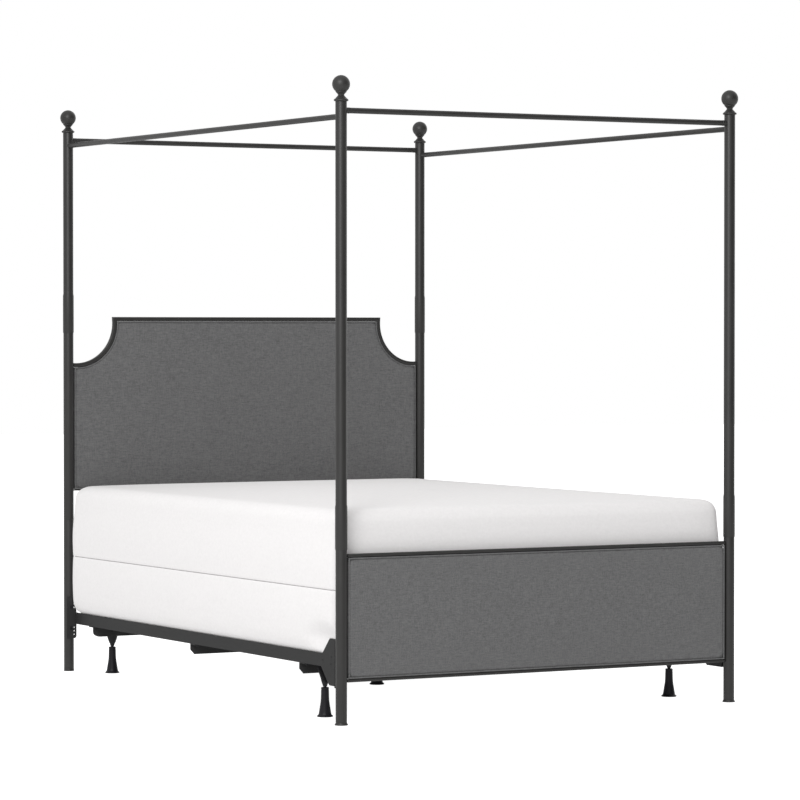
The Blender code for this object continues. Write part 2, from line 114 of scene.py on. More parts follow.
# ---------------------------------------------------------------- shapes
def filleted(points: Sequence[Point], radius: float, closed: bool = False, steps: int = 3) -> Outline:
    """Rounds the corners of a line of points.

    Args:
        points: the corners.
        radius: how far from each corner its rounding starts.
        closed: whether the last point joins the first.
        steps: how many short edges make up each rounding.

    Returns:
        The rounded line.
    """
    made: Outline = []
    count = len(points)
    for i, point in enumerate(points):
        if not closed and i in (0, count - 1):
            made.append(tuple(point))
            continue
        here = Vector(point)
        before = Vector(points[i - 1]) - here
        after = Vector(points[(i + 1) % count]) - here
        reach = min(radius, before.length * 0.45, after.length * 0.45)
        if reach < 1e-6 or before.angle(after, pi) > radians(165):
            made.append(tuple(point))
            continue
        first = here + before.normalized() * reach
        last = here + after.normalized() * reach
        for step in range(steps + 1):
            t = step / steps
            made.append(tuple(first * (1 - t) ** 2 + here * 2 * t * (1 - t) + last * t * t))
    return made


def as_piece(name: str, points: Sequence[Any], faces: Sequence[Any], sharp: float = 40) -> Piece:
    """Makes a piece from points and faces, with smooth shading and crisp edges.

    Args:
        name: the piece's name.
        points: its corners.
        faces: the corners of each face.
        sharp: edges that turn by more than this many degrees stay crisp.

    Returns:
        The new piece.
    """
    mesh = bpy.data.meshes.new(name)
    mesh.from_pydata([tuple(point) for point in points], [], [list(face) for face in faces])
    work = bmesh.new()
    work.from_mesh(mesh)
    bmesh.ops.recalc_face_normals(work, faces=work.faces)
    work.to_mesh(mesh)
    work.free()
    mesh.shade_smooth()
    mesh.set_sharp_from_angle(angle=radians(sharp))
    piece = bpy.data.objects.new(name, mesh)
    bpy.context.scene.collection.objects.link(piece)
    return piece


def turned(
    name: str,
    profile: Sequence[Point],
    at: Vector,
    axis: Vector = UP,
    segments: int = 48,
    ring: bool = False,
) -> Piece:
    """Makes a turned piece, such as a tube or a knob.

    Args:
        name: the piece's name.
        profile: (radius, height) points down its outer side, from its top.
        at: the point on its axis that heights are measured from.
        axis: the direction that heights rise in.
        segments: how many flats go round it.
        ring: whether the profile is closed, as it is for a tube.

    Returns:
        The new piece.
    """
    turns = [2 * pi * i / segments for i in range(segments)]
    turn_to = Vector(axis).to_track_quat("Z", "Y")
    points: list[Vector] = []
    rings: list[list[int]] = []
    for radius, height in profile:
        start = len(points)
        if radius < 1e-7:
            points.append(at + turn_to @ Vector((0, 0, height)))
            rings.append([start])
            continue
        points += [at + turn_to @ Vector((radius * cos(t), radius * sin(t), height)) for t in turns]
        rings.append(list(range(start, start + segments)))
    if ring:
        rings.append(rings[0])
    return as_piece(name, points, bridged(rings, segments))


def bridged(rings: Sequence[Sequence[int]], count: int) -> list[list[int]]:
    """Joins rings of points with faces.

    Args:
        rings: the points of each ring, where a ring of one point is a tip.
        count: how many points the full rings have.

    Returns:
        The faces between neighbouring rings.
    """
    faces: list[list[int]] = []
    for upper, lower in zip(rings, rings[1:]):
        for i in range(count):
            j = i + 1
            quad = (
                upper[i % len(upper)],
                lower[i % len(lower)],
                lower[j % len(lower)],
                upper[j % len(upper)],
            )
            face = list(dict.fromkeys(quad))
            if len(face) > 2:
                faces.append(face)
    return faces


def closed_off(points: Sequence[Vector], ring: Sequence[int]) -> list[list[int]]:
    """Fills a ring with triangles between its own points.

    Args:
        points: all the piece's points.
        ring: the ring's points, in order.

    Returns:
        The triangles.
    """
    return [[ring[i] for i in face] for face in tessellate_polygon([[points[i] for i in ring]])]


def swept(name: str, path: Outline, section: Outline, depth: float, cyclic: bool = False) -> Piece:
    """Makes a bent bar or cord whose path lies in an upright plane across the bed.

    Args:
        name: the piece's name.
        path: (x, z) points that the bar follows, with mitred corners.
        section: (across, along Y) points round the bar's section.
        depth: the Y of the path's plane.
        cyclic: whether the path's last point joins its first.

    Returns:
        The new piece.
    """
    count = len(path)
    points: list[Vector] = []
    for i, (x, z) in enumerate(path):
        here = Vector((x, z))
        back = here - Vector(path[i - 1]) if cyclic or i > 0 else None
        ahead = Vector(path[(i + 1) % count]) - here if cyclic or i < count - 1 else None
        back = (back or ahead).normalized()
        ahead = (ahead or back).normalized()
        normal = Vector((-back.y - ahead.y, back.x + ahead.x)).normalized()
        stretch = 1 / max(0.4, normal.dot(Vector((-back.y, back.x))))
        for across, along in section:
            reach = normal * across * stretch
            points.append(Vector((x + reach.x, depth + along, z + reach.y)))
    sides = len(section)
    rings = [list(range(i * sides, (i + 1) * sides)) for i in range(count)]
    if cyclic:
        faces = bridged(rings + [rings[0]], sides)
    else:
        faces = bridged(rings, sides) + [rings[0], rings[-1]]
    return as_piece(name, points, faces)


def circle(radius: float, count: int) -> Outline:
    """The points of a circle round the origin."""
    turns = [2 * pi * i / count for i in range(count)]
    return [(radius * cos(t), radius * sin(t)) for t in turns]


def divided(outline: Outline, counts: Sequence[int]) -> Outline:
    """Adds evenly spaced points to the edges of a closed outline.

    Args:
        outline: its corners.
        counts: how many parts each edge is cut into.

    Returns:
        The finer outline.
    """
    made: Outline = []
    for i, count in enumerate(counts):
        x0, y0 = outline[i]
        x1, y1 = outline[(i + 1) % len(outline)]
        made += [(x0 + (x1 - x0) * k / count, y0 + (y1 - y0) * k / count) for k in range(count)]
    return made


def joined(name: str, pieces: Sequence[Piece]) -> Piece:
    """Joins pieces of one finish into one piece.

    Args:
        name: the new piece's name.
        pieces: the pieces to join, which are used up.

    Returns:
        The joined piece.
    """
    work = bmesh.new()
    for piece in pieces:
        work.from_mesh(piece.data)
        bpy.data.objects.remove(piece)
    mesh = bpy.data.meshes.new(name)
    work.to_mesh(mesh)
    work.free()
    whole = bpy.data.objects.new(name, mesh)
    bpy.context.scene.collection.objects.link(whole)
    return whole


# ---------------------------------------------------------------- finishes
class Bench:
    """Adds nodes to one node tree and wires them as they are made."""

    def __init__(self, tree: bpy.types.NodeTree) -> None:
        """Takes the node tree to work on."""
        self.tree = tree

    def add(self, kind: str, inputs: dict[Any, Any] | None = None, **settings: Any) -> bpy.types.Node:
        """Adds a node.

        Args:
            kind: the node's type, without its ShaderNode prefix.
            inputs: a socket or a plain value for each input, by name or number.
            settings: the node's own settings.

        Returns:
            The new node.
        """
        node = self.tree.nodes.new("ShaderNode" + kind)
        for key, value in settings.items():
            setattr(node, key, value)
        for key, value in (inputs or {}).items():
            if isinstance(value, bpy.types.NodeSocket):
                self.tree.links.new(value, node.inputs[key])
            else:
                node.inputs[key].default_value = value
        return node

    def maths(self, operation: str, *values: Any) -> bpy.types.NodeSocket:
        """A Math node's result from its values."""
        return self.add("Math", dict(enumerate(values)), operation=operation).outputs[0]

    def streaks(self, place: Any, stretch: Sequence[float], detail: float) -> bpy.types.NodeSocket:
        """Noise drawn out along one or two axes.

        Args:
            place: the socket that gives the place on the piece.
            stretch: how many features fit in a metre along each axis.
            detail: how many finer layers are added.

        Returns:
            The noise, from 0 to 1.
        """
        spread = self.add("VectorMath", {0: place, 1: tuple(stretch)}, operation="MULTIPLY")
        noise = self.add("TexNoise", {"Vector": spread.outputs[0], "Scale": 1.0, "Detail": detail})
        return noise.outputs["Fac"]

    def ramp(self, value: Any, low: float, high: float, to_low: float = 0, to_high: float = 1) -> Any:
        """Maps a value from one range to another, and holds it there."""
        inputs = {0: value, 1: low, 2: high, 3: to_low, 4: to_high}
        return self.add("MapRange", inputs, clamp=True).outputs[0]

    def blend(self, share: Any, first: Any, second: Any) -> bpy.types.NodeSocket:
        """A colour between two others."""
        node = self.add("Mix", {"Factor": share, "A": first, "B": second}, data_type="RGBA")
        return node.outputs["Result"]


def new_group(name: str, inputs: dict[str, float], outputs: Sequence[str]) -> tuple[Bench, Any, Any]:
    """Starts a shader node group.

    Args:
        name: the group's name.
        inputs: its number inputs, with their usual values. A Place vector comes before them.
        outputs: its number outputs.

    Returns:
        A bench for its tree, its input node and its output node.
    """
    tree = bpy.data.node_groups.new(name, "ShaderNodeTree")
    tree.interface.new_socket("Place", in_out="INPUT", socket_type="NodeSocketVector")
    for key, value in inputs.items():
        socket = tree.interface.new_socket(key, in_out="INPUT", socket_type="NodeSocketFloat")
        socket.default_value = value
    for key in outputs:
        tree.interface.new_socket(key, in_out="OUTPUT", socket_type="NodeSocketFloat")
    source = tree.nodes.new("NodeGroupInput")
    result = tree.nodes.new("NodeGroupOutput")
    return Bench(tree), source.outputs, result


class Effects:
    """The node groups that several finishes share, each built once."""

    def __init__(self) -> None:
        """Builds the groups."""
        self.woven = self._woven_threads()
        self.paint = self._paint_grain()
        self.worn = self._worn_edges()

    @staticmethod
    def _woven_threads() -> bpy.types.NodeTree:
        """Crossing threads with thick and thin places.

        Returns:
            A group with a Height, a Shade from thin to thick, and a slow Drift in colour.
        """
        inputs = {"Threads": 900.0, "Slub length": 16.0, "Slub width": 190.0}
        bench, source, result = new_group("woven_threads", inputs, ("Height", "Shade", "Drift"))
        split = bench.add("SeparateXYZ", {0: source["Place"]})
        turn = bench.maths("MULTIPLY", source["Threads"], pi)
        ribs = [bench.maths("SINE", bench.maths("MULTIPLY", split.outputs[i], turn)) for i in range(3)]
        ribs = [bench.maths("ABSOLUTE", rib) for rib in ribs]
        crossed = bench.maths("ADD", bench.maths("ADD", ribs[0], ribs[1]), ribs[2])
        length, width = source["Slub length"], source["Slub width"]
        slubs = []
        for along in ("weft", "warp"):
            order = (length, length, width) if along == "weft" else (width, length, length)
            joint = bench.add("CombineXYZ", dict(enumerate(order)))
            spread = bench.add("VectorMath", {0: source["Place"], 1: joint.outputs[0]}, operation="MULTIPLY")
            inputs = {"Vector": spread.outputs[0], "Scale": 1.0, "Detail": 4.0, "Roughness": 0.65}
            slubs.append(bench.add("TexNoise", inputs).outputs["Fac"])
        inputs = {"Vector": source["Place"], "Scale": width, "Detail": 2.0}
        grain = bench.add("TexNoise", inputs).outputs["Fac"]
        grain_share, slub_shares = 0.30, (0.42, 0.28)
        shade = bench.maths("MULTIPLY", grain, grain_share)
        for slub, weight in zip(slubs, slub_shares):
            shade = bench.maths("ADD", shade, bench.maths("MULTIPLY", slub, weight))
        height = bench.maths("ADD", bench.maths("MULTIPLY", crossed, 0.4), shade)
        drift = bench.streaks(source["Place"], (7, 7, 9), 2.0)
        for socket, value in zip(result.inputs, (height, shade, drift)):
            bench.tree.links.new(value, socket)
        return bench.tree

    @staticmethod
    def _paint_grain() -> bpy.types.NodeTree:
        """The pebbled skin of baked paint or moulded plastic.

        Returns:
            A group with a Height and a slow Mottle.
        """
        bench, source, result = new_group("paint_grain", {"Grain": 1400.0}, ("Height", "Mottle"))
        fine = bench.add("TexNoise", {"Vector": source["Place"], "Scale": source["Grain"], "Detail": 2.0})
        coarse_scale = bench.maths("MULTIPLY", source["Grain"], 0.3)
        coarse = bench.add("TexVoronoi", {"Vector": source["Place"], "Scale": coarse_scale})
        pebbles = bench.maths("MULTIPLY", coarse.outputs["Distance"], 0.7)
        height = bench.maths("ADD", fine.outputs["Fac"], pebbles)
        mottle = bench.streaks(source["Place"], (22, 22, 9), 3.0)
        for socket, value in zip(result.inputs, (height, mottle)):
            bench.tree.links.new(value, socket)
        return bench.tree

    @staticmethod
    def _worn_edges() -> bpy.types.NodeTree:
        """A mask of the outer edges, broken up where handling polishes them.

        Returns:
            A group with a Mask.
        """
        bench, source, result = new_group("worn_edges", {"Reach": 0.0012, "Patchy": 0.5}, ("Mask",))
        rounded = bench.add("Bevel", {"Radius": source["Reach"]}, samples=4)
        facing = bench.add("NewGeometry")
        normals = {0: rounded.outputs[0], 1: facing.outputs["Normal"]}
        match = bench.add("VectorMath", normals, operation="DOT_PRODUCT")
        edge = bench.ramp(match.outputs["Value"], 0.995, 0.85)
        patches = bench.ramp(bench.streaks(source["Place"], (90, 90, 90), 3.0), 0.35, 0.65)
        share = bench.maths("SUBTRACT", 1.0, bench.maths("MULTIPLY", source["Patchy"], patches))
        bench.tree.links.new(bench.maths("MULTIPLY", edge, share), result.inputs[0])
        return bench.tree


def rgba(colour: Colour) -> tuple[float, float, float, float]:
    """A colour with full opacity."""
    return (*colour, 1.0)


@dataclass(frozen=True)
class Finish:
    """What every finish has: a name, and the record's slot that it belongs to."""

    name: str
    slot: str

    def material(self, effects: Effects) -> bpy.types.Material:
        """The finish's material, made on first use.

        Args:
            effects: the shared node groups.

        Returns:
            The material.
        """
        made = bpy.data.materials.get(self.name)
        if made is None:
            made = bpy.data.materials.new(self.name)
            made.use_nodes = True
            bench = Bench(made.node_tree)
            place = bench.add("TexCoord").outputs["Object"]
            self.wire(bench, made.node_tree.nodes["Principled BSDF"], place, effects)
        return made

    def wire(self, bench: Bench, shader: Any, place: Any, effects: Effects) -> None:
        """Wires the finish's nodes; each finish has its own."""
        raise NotImplementedError

    @staticmethod
    def bump(bench: Bench, shader: Any, height: Any, distance: float, strength: float) -> None:
        """Gives the shader relief.

        Args:
            bench: the material's bench.
            shader: the Principled shader.
            height: the socket that gives the relief.
            distance: how deep the relief is, in metres.
            strength: how much of it shows.
        """
        inputs = {"Height": height, "Distance": distance, "Strength": strength}
        bump = bench.add("Bump", inputs)
        bench.tree.links.new(bump.outputs["Normal"], shader.inputs["Normal"])


@dataclass(frozen=True)
class BakedPaint(Finish):
    """Powder coat or satin paint on steel, or moulded plastic with a fine grain."""

    dark: Colour
    light: Colour
    worn: Colour
    roughness: tuple[float, float]
    specular: float
    grain: float
    depth: float

    def wire(self, bench: Bench, shader: Any, place: Any, effects: Effects) -> None:
        """Wires colour, roughness and relief.

        Args:
            bench: the material's bench.
            shader: the Principled shader.
            place: the socket that gives the place on the piece.
            effects: the shared node groups.
        """
        skin = bench.add("Group", node_tree=effects.paint)
        skin.inputs["Grain"].default_value = self.grain
        edges = bench.add("Group", node_tree=effects.worn)
        for group in (skin, edges):
            bench.tree.links.new(place, group.inputs["Place"])
        mottle = bench.ramp(skin.outputs["Mottle"], 0.3, 0.7)
        colour = bench.blend(mottle, rgba(self.dark), rgba(self.light))
        colour = bench.blend(bench.maths("MULTIPLY", edges.outputs["Mask"], 0.55), colour, rgba(self.worn))
        bench.tree.links.new(colour, shader.inputs["Base Color"])
        roughness = bench.ramp(skin.outputs["Mottle"], 0.25, 0.75, *self.roughness)
        polished = bench.maths("MULTIPLY", edges.outputs["Mask"], 0.08)
        bench.tree.links.new(bench.maths("SUBTRACT", roughness, polished), shader.inputs["Roughness"])
        shader.inputs["Specular IOR Level"].default_value = self.specular
        self.bump(bench, shader, skin.outputs["Height"], self.depth, 0.35)


@dataclass(frozen=True)
class SlubCloth(Finish):
    """A heathered cloth of thick and thin threads."""

    dark: Colour
    light: Colour
    threads: float
    slub: tuple[float, float]
    contrast: tuple[float, float]
    depth: float
    sheen: float

    def wire(self, bench: Bench, shader: Any, place: Any, effects: Effects) -> None:
        """Wires colour, roughness and relief.

        Args:
            bench: the material's bench.
            shader: the Principled shader.
            place: the socket that gives the place on the piece.
            effects: the shared node groups.
        """
        cloth = bench.add("Group", node_tree=effects.woven)
        cloth.inputs["Threads"].default_value = self.threads
        cloth.inputs["Slub length"].default_value = self.slub[0]
        cloth.inputs["Slub width"].default_value = self.slub[1]
        bench.tree.links.new(place, cloth.inputs["Place"])
        shade = bench.ramp(cloth.outputs["Shade"], *self.contrast)
        drift = bench.ramp(cloth.outputs["Drift"], 0.3, 0.7, -0.03, 0.03)
        share = bench.maths("ADD", shade, drift)
        colour = bench.blend(share, rgba(self.dark), rgba(self.light))
        bench.tree.links.new(colour, shader.inputs["Base Color"])
        roughness = bench.ramp(cloth.outputs["Shade"], 0.3, 0.7, 0.98, 0.88)
        bench.tree.links.new(roughness, shader.inputs["Roughness"])
        shader.inputs["Specular IOR Level"].default_value = 0.2
        shader.inputs["Sheen Weight"].default_value = self.sheen
        shader.inputs["Sheen Roughness"].default_value = 0.4
        self.bump(bench, shader, cloth.outputs["Height"], self.depth, 0.6)


CHARCOAL = BakedPaint(
    name="charcoal_powder_coat",
    slot="charcoal_steel",
    dark=(0.0165, 0.0160, 0.0152),
    light=(0.0225, 0.0218, 0.0208),
    worn=(0.048, 0.046, 0.043),
    roughness=(0.38, 0.47),
    specular=0.50,
    grain=1400,
    depth=0.00006,
)
RAIL_PAINT = BakedPaint(
    name="bed_frame_paint",
    slot="charcoal_steel",
    dark=(0.029, 0.029, 0.029),
    light=(0.036, 0.036, 0.036),
    worn=(0.055, 0.055, 0.055),
    roughness=(0.52, 0.64),
    specular=0.14,
    grain=1100,
    depth=0.00008,
)
BLACK_STEEL = BakedPaint(
    name="black_satin_paint",
    slot="black_steel",
    dark=(0.012, 0.012, 0.013),
    light=(0.018, 0.018, 0.020),
    worn=(0.045, 0.045, 0.047),
    roughness=(0.38, 0.50),
    specular=0.20,
    grain=1600,
    depth=0.00005,
)
GLIDE_PLASTIC = BakedPaint(
    name="moulded_black_plastic",
    slot="black_plastic",
    dark=(0.009, 0.0085, 0.0110),
    light=(0.013, 0.0125, 0.0160),
    worn=(0.024, 0.023, 0.028),
    roughness=(0.34, 0.46),
    specular=0.22,
    grain=2200,
    depth=0.00003,
)
LINEN = SlubCloth(
    name="grey_slub_linen",
    slot="grey_linen",
    dark=(0.106, 0.106, 0.107),
    light=(0.186, 0.186, 0.187),
    threads=900,
    slub=(38, 265),
    contrast=(0.37, 0.63),
    depth=0.0006,
    sheen=0.12,
)
BEDDING_KNIT = SlubCloth(
    name="white_stretch_knit",
    slot="white_knit",
    dark=(0.79, 0.775, 0.774),
    light=(0.87, 0.855, 0.853),
    threads=420,
    slub=(60, 110),
    contrast=(0.25, 0.75),
    depth=0.0004,
    sheen=0.15,
)
BACKING = SlubCloth(
    name="grey_dust_cover",
    slot="board",
    dark=(0.070, 0.070, 0.072),
    light=(0.125, 0.125, 0.128),
    threads=700,
    slub=(40, 90),
    contrast=(0.3, 0.7),
    depth=0.0003,
    sheen=0.0,
)


# ---------------------------------------------------------------- sub-assemblies
@dataclass
class SubAssembly:
    """A group of pieces that are made and dressed together."""

    effects: Effects
    pieces: list[Piece] = field(default_factory=list, init=False)

    def dress(self, piece: Piece, finish: Finish) -> None:
        """Gives a piece its finish and nothing else."""
        piece.data.materials.clear()
        piece.data.materials.append(finish.material(self.effects))

    def keep(self, piece: Piece, finish: Finish, *nodes: str, body: str = "frame") -> Piece:
        """Dresses a new piece and fixes it to a body.

        Args:
            piece: the piece.
            finish: its finish.
            nodes: the solids that it stands for, if any.
            body: the body that it moves with.

        Returns:
            The piece.
        """
        self.dress(piece, finish)
        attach(piece, body)
        if nodes:
            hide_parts(*nodes)
        self.pieces.append(piece)
        LOG.info("%s: %s on %s", piece.name, finish.name, body)
        return piece

    def carry(self, node: str, finish: Finish, rounding: float) -> None:
        """Dresses a solid whose own shape is shown.

        Args:
            node: the solid's name.
            finish: its finish.
            rounding: how far its edges are eased.
        """
        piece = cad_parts[node]
        self.dress(piece, finish)
        weld = piece.modifiers.new("Weld", "WELD")
        weld.merge_threshold = 0.00002
        ease = piece.modifiers.new("Ease", "BEVEL")
        ease.width = rounding
        ease.segments = 2
        ease.limit_method = "ANGLE"
        ease.angle_limit = radians(35)
        ease.harden_normals = True
        piece.data.shade_smooth()
        piece.modifiers.new("Faces", "WEIGHTED_NORMAL")
        LOG.info("%s: %s", node, finish.name)

    def screw_head(
        self, name: str, at: Vector, axis: Vector, radius: float, height: float, flats: int
    ) -> Piece:
        """A hexagon or round fastener head, set a little into its plate.

        Args:
            name: its name.
            at: the point of the plate's face under its middle.
            axis: the direction it stands up in.
            radius: its radius.
            height: how far it stands out.
            flats: 6 for a hexagon, more for a round head.

        Returns:
            The head.
        """
        profile = [
            (0, height * 0.86),
            (radius * 0.55, height * 0.92),
            (radius * 0.80, height),
            (radius * 0.95, height * 0.82),
            (radius, height * 0.55),
            (radius, -0.0002),
            (0, -0.0002),
        ]
        return turned(name, profile, at, axis, flats)


@dataclass
class Posts(SubAssembly):
    """The four posts, with their feet, joints and ball finials."""

    wall: float = 0.0015
    lip: float = 0.0005
    ball_radius: float = 0.0296
    ball_centre: float = 0.0573

    def build(self) -> None:
        """Makes every post."""
        for end in End:
            for side in Side:
                self.upper(end, side)
                self.finial(end, side)
                self.foot(end, side)
                self.lower(end, side)

    def axis_at(self, node: str) -> Vector:
        """The point of a post's axis at floor level."""
        centre = Block(node).centre
        return Vector((centre.x, centre.y, 0))

    def upper(self, end: End, side: Side) -> None:
        """Makes an upper tube with the swaged bell at its lower end.

        Args:
            end: which end of the bed.
            side: which side of the bed.
        """
        node = f"upper_post_{end.word}_{side.word}"
        block = Block(node)
        bell = block.size.x / 2
        radius = bell - 0.0015
        low, high = block.low.z, block.high.z
        swage = low + 0.142
        outer = [
            (radius - self.wall, high),
            (radius, high),
            (radius, swage + 0.008),
            (bell, swage - 0.002),
            (bell, low + 0.0035),
            (bell - 0.0004, low + 0.0012),
            (bell - 0.0004, low),
            (bell - 0.0012, low),
        ]
        inner = [(bell - 0.0012, swage - 0.006), (radius - self.wall, swage)]
        profile = filleted(outer + inner, self.lip, closed=True)
        piece = turned(f"post_upper_{end.word}_{side.word}", profile, self.axis_at(node), ring=True)
        self.keep(piece, CHARCOAL, node)

    def lower(self, end: End, side: Side) -> None:
        """Makes the tubes below the upper one.

        Args:
            end: which end of the bed.
            side: which side of the bed.
        """
        if end is End.FOOT:
            self.plain(f"foot_leg_{side.word}", f"post_lower_foot_{side.word}")
            return
        self.plain(f"headboard_side_post_{side.word}", f"post_middle_head_{side.word}")
        node = f"head_leg_{side.word}"
        block = Block(node)
        radius = block.size.x / 2
        joint = Block(f"headboard_side_post_{side.word}").low.z - 0.0003
        spigot = radius - self.wall - 0.0005
        profile = [
            (spigot, block.high.z),
            (spigot, joint),
            (radius, joint),
            (radius, block.low.z),
            (radius - self.wall, block.low.z),
            (radius - self.wall, joint - 0.012),
            (spigot - self.wall, joint - 0.002),
            (spigot - self.wall, block.high.z),
        ]
        profile = filleted(profile, self.lip, closed=True)
        piece = turned(f"post_lower_head_{side.word}", profile, self.axis_at(node), ring=True)
        self.keep(piece, CHARCOAL, node)

    def plain(self, node: str, name: str) -> None:
        """Makes a plain tube with eased ends.

        Args:
            node: the solid that it stands for.
            name: the new piece's name.
        """
        block = Block(node)
        radius = block.size.x / 2
        bore = radius - self.wall
        profile = [(radius, block.high.z), (radius, block.low.z), (bore, block.low.z), (bore, block.high.z)]
        profile = filleted(profile, self.lip, closed=True)
        self.keep(turned(name, profile, self.axis_at(node), ring=True), CHARCOAL, node)

    def foot(self, end: End, side: Side) -> None:
        """Makes a foot with its plug.

        Args:
            end: which end of the bed.
            side: which side of the bed.
        """
        node = f"foot_cap_{end.word}_{side.word}"
        block = Block(node)
        wide = block.size.x / 2
        profile = [
            (0, block.high.z),
            (0.0171, block.high.z),
            (0.0171, 0.008),
            (0.0190, 0.008),
            (0.0190 + (wide - 0.019) * 0.35, 0.0055),
            (wide, 0.0022),
            (wide, 0.0006),
            (wide - 0.001, 0),
            (0, 0),
        ]
        profile = filleted(profile, 0.0006)
        self.keep(turned(f"post_foot_{end.word}_{side.word}", profile, self.axis_at(node)), CHARCOAL, node)

    def finial(self, end: End, side: Side) -> None:
        """Makes a ball on its cup, neck and rounded rim.

        Args:
            end: which end of the bed.
            side: which side of the bed.
        """
        node = f"finial_{end.word}_{side.word}"
        seat = Block(f"upper_post_{end.word}_{side.word}").high.z
        last = pi - asin(0.0172 / self.ball_radius)
        turns = [last * i / 26 for i in range(27)]
        ball = [(self.ball_radius * sin(t), self.ball_centre + self.ball_radius * cos(t)) for t in turns]
        stem = [
            (0.0176, 0.0330),
            (0.0184, 0.0335),
            (0.0185, 0.0320),
            (0.0160, 0.0295),
            (0.0128, 0.0262),
            (0.0108, 0.0232),
            (0.0103, 0.0212),
            (0.0112, 0.0194),
            (0.0140, 0.0164),
            (0.0185, 0.0114),
            (0.0196, 0.0098),
            (0.0212, 0.0090),
            (0.0236, 0.0074),
            (0.0243, 0.0056),
            (0.0243, 0.0040),
            (0.0234, 0.0022),
            (0.0212, 0.0012),
            (0.0192, 0.0010),
            (0.0190, 0.0003),
            (0.0171, 0.0003),
            (0.0171, -0.0150),
            (0, -0.0150),
        ]
        at = self.axis_at(node) + UP * seat
        self.keep(turned(f"ball_finial_{end.word}_{side.word}", ball + stem, at, segments=56), CHARCOAL, node)


@dataclass
class Canopy(SubAssembly):
    """The four rails round the top, and the couplings that fix them to the posts."""

    wall: float = 0.0012
    stud_length: float = 0.012

    def build(self) -> None:
        """Makes the rails and couplings."""
        for end in End:
            self.rail(f"canopy_rail_{end.word}", f"round_rail_{end.word}", Vector((1, 0, 0)))
        for side in Side:
            self.rail(f"canopy_rail_{side.word}", f"round_rail_{side.word}", Vector((0, 1, 0)))
        for end in End:
            for side in Side:
                post = Block(f"upper_post_{end.word}_{side.word}").centre
                self.coupling(end, side, "cross", post, Vector((-side.value, 0, 0)))
                self.coupling(end, side, "long", post, Vector((0, -end.value, 0)))

    def rail(self, node: str, name: str, axis: Vector) -> None:
        """Makes a round rail with eased ends.

        Args:
            node: the solid that it stands for.
            name: the new piece's name.
            axis: the direction it runs in.
        """
        block = Block(node)
        half = max(block.size.x, block.size.y) / 2
        radius = block.size.z / 2
        bore = radius - self.wall
        corners = [(radius, half), (radius, -half), (bore, -half), (bore, half)]
        profile = filleted(corners, 0.0005, closed=True)
        self.keep(turned(name, profile, block.centre, axis, 32, ring=True), CHARCOAL, node)

    def coupling(self, end: End, side: Side, kind: str, post: Vector, axis: Vector) -> None:
        """Makes a coupling whose saddle wraps the post, with a grub screw underneath.

        Args:
            end: which end of the bed.
            side: which side of the bed.
            kind: cross for the head and foot rails, long for the side rails.
            post: a point on the post's axis.
            axis: the direction from the post along the rail.
        """
        node = f"rail_bush_{end.word}_{side.word}_{kind}"
        block = Block(node)
        at = Vector((post.x, post.y, block.centre.z))
        far = max(abs(corner.dot(axis)) for corner in (block.low - at, block.high - at))
        seam = far - self.stud_length
        radius = block.size.z / 2
        levels = [
            (0, far),
            (0.0079, far),
            (0.0079, seam),
            (radius - 0.0008, seam),
            (radius, seam - 0.0008),
            (radius, 0.0245),
            (radius - 0.0006, 0.0240),
            (radius, 0.0235),
        ]
        body = turned("saddle", levels + [(radius, 0), (0, 0)], at, axis, 32)
        self.shape_saddle(body, at, axis, 0.0193)
        down = -UP
        screw = self.screw_head("grub", at + axis * 0.0275 + down * radius * 0.985, down, 0.0021, 0.0005, 12)
        piece = joined(f"coupling_{end.word}_{side.word}_{kind}", (body, screw))
        piece.data.shade_smooth()
        piece.data.set_sharp_from_angle(angle=radians(40))
        self.keep(piece, CHARCOAL, node)

    @staticmethod
    def shape_saddle(piece: Piece, at: Vector, axis: Vector, reach: float) -> None:
        """Moves a coupling's near end out to the curved face of its post.

        Args:
            piece: the coupling.
            at: the point where its axis meets the post's axis.
            axis: the direction from the post along the rail.
            reach: the radius of the post, with its gap.
        """
        across = UP.cross(axis)
        for vertex in piece.data.vertices:
            offset = vertex.co - at
            if offset.dot(axis) > 0.001:
                continue
            sideways = offset.dot(across)
            depth = (reach**2 - sideways**2) ** 0.5
            vertex.co += axis * (depth - offset.dot(axis))


class PanelPlan:
    """The outline of a panel, which can be asked for at any distance inside its edge."""

    def __init__(self, half_width: float, low: float, high: float, scoop: "Scoop | None" = None) -> None:
        """Takes the panel's sizes.

        Args:
            half_width: from the bed's middle to its side edge.
            low: its lowest height.
            high: its highest height.
            scoop: its scooped top corners, if it has them.
        """
        self.half_width = half_width
        self.low = low
        self.high = high
        self.scoop = scoop

    def corners(self, inset: float) -> Outline:
        """The outline at a distance inside the edge, with the same corners at every distance."""
        side, top = self.half_width - inset, self.high - inset
        right = [(side, self.low + inset)]
        right += self.scoop.arc(inset, top, side) if self.scoop else [(side, top)]
        return right + [(-x, z) for x, z in reversed(right)]

    def ring(self, inset: float, spacing: float = 0.030) -> Outline:
        """The outline with evenly spaced points, as many at every distance.

        Args:
            inset: the distance inside the edge.
            spacing: about how far apart the points are.

        Returns:
            The points of the ring.
        """
        base = self.corners(0)
        lengths = [hypot(b[0] - a[0], b[1] - a[1]) for a, b in zip(base, base[1:] + base[:1])]
        counts = [max(1, round(length / spacing)) for length in lengths]
        return divided(self.corners(inset), counts)


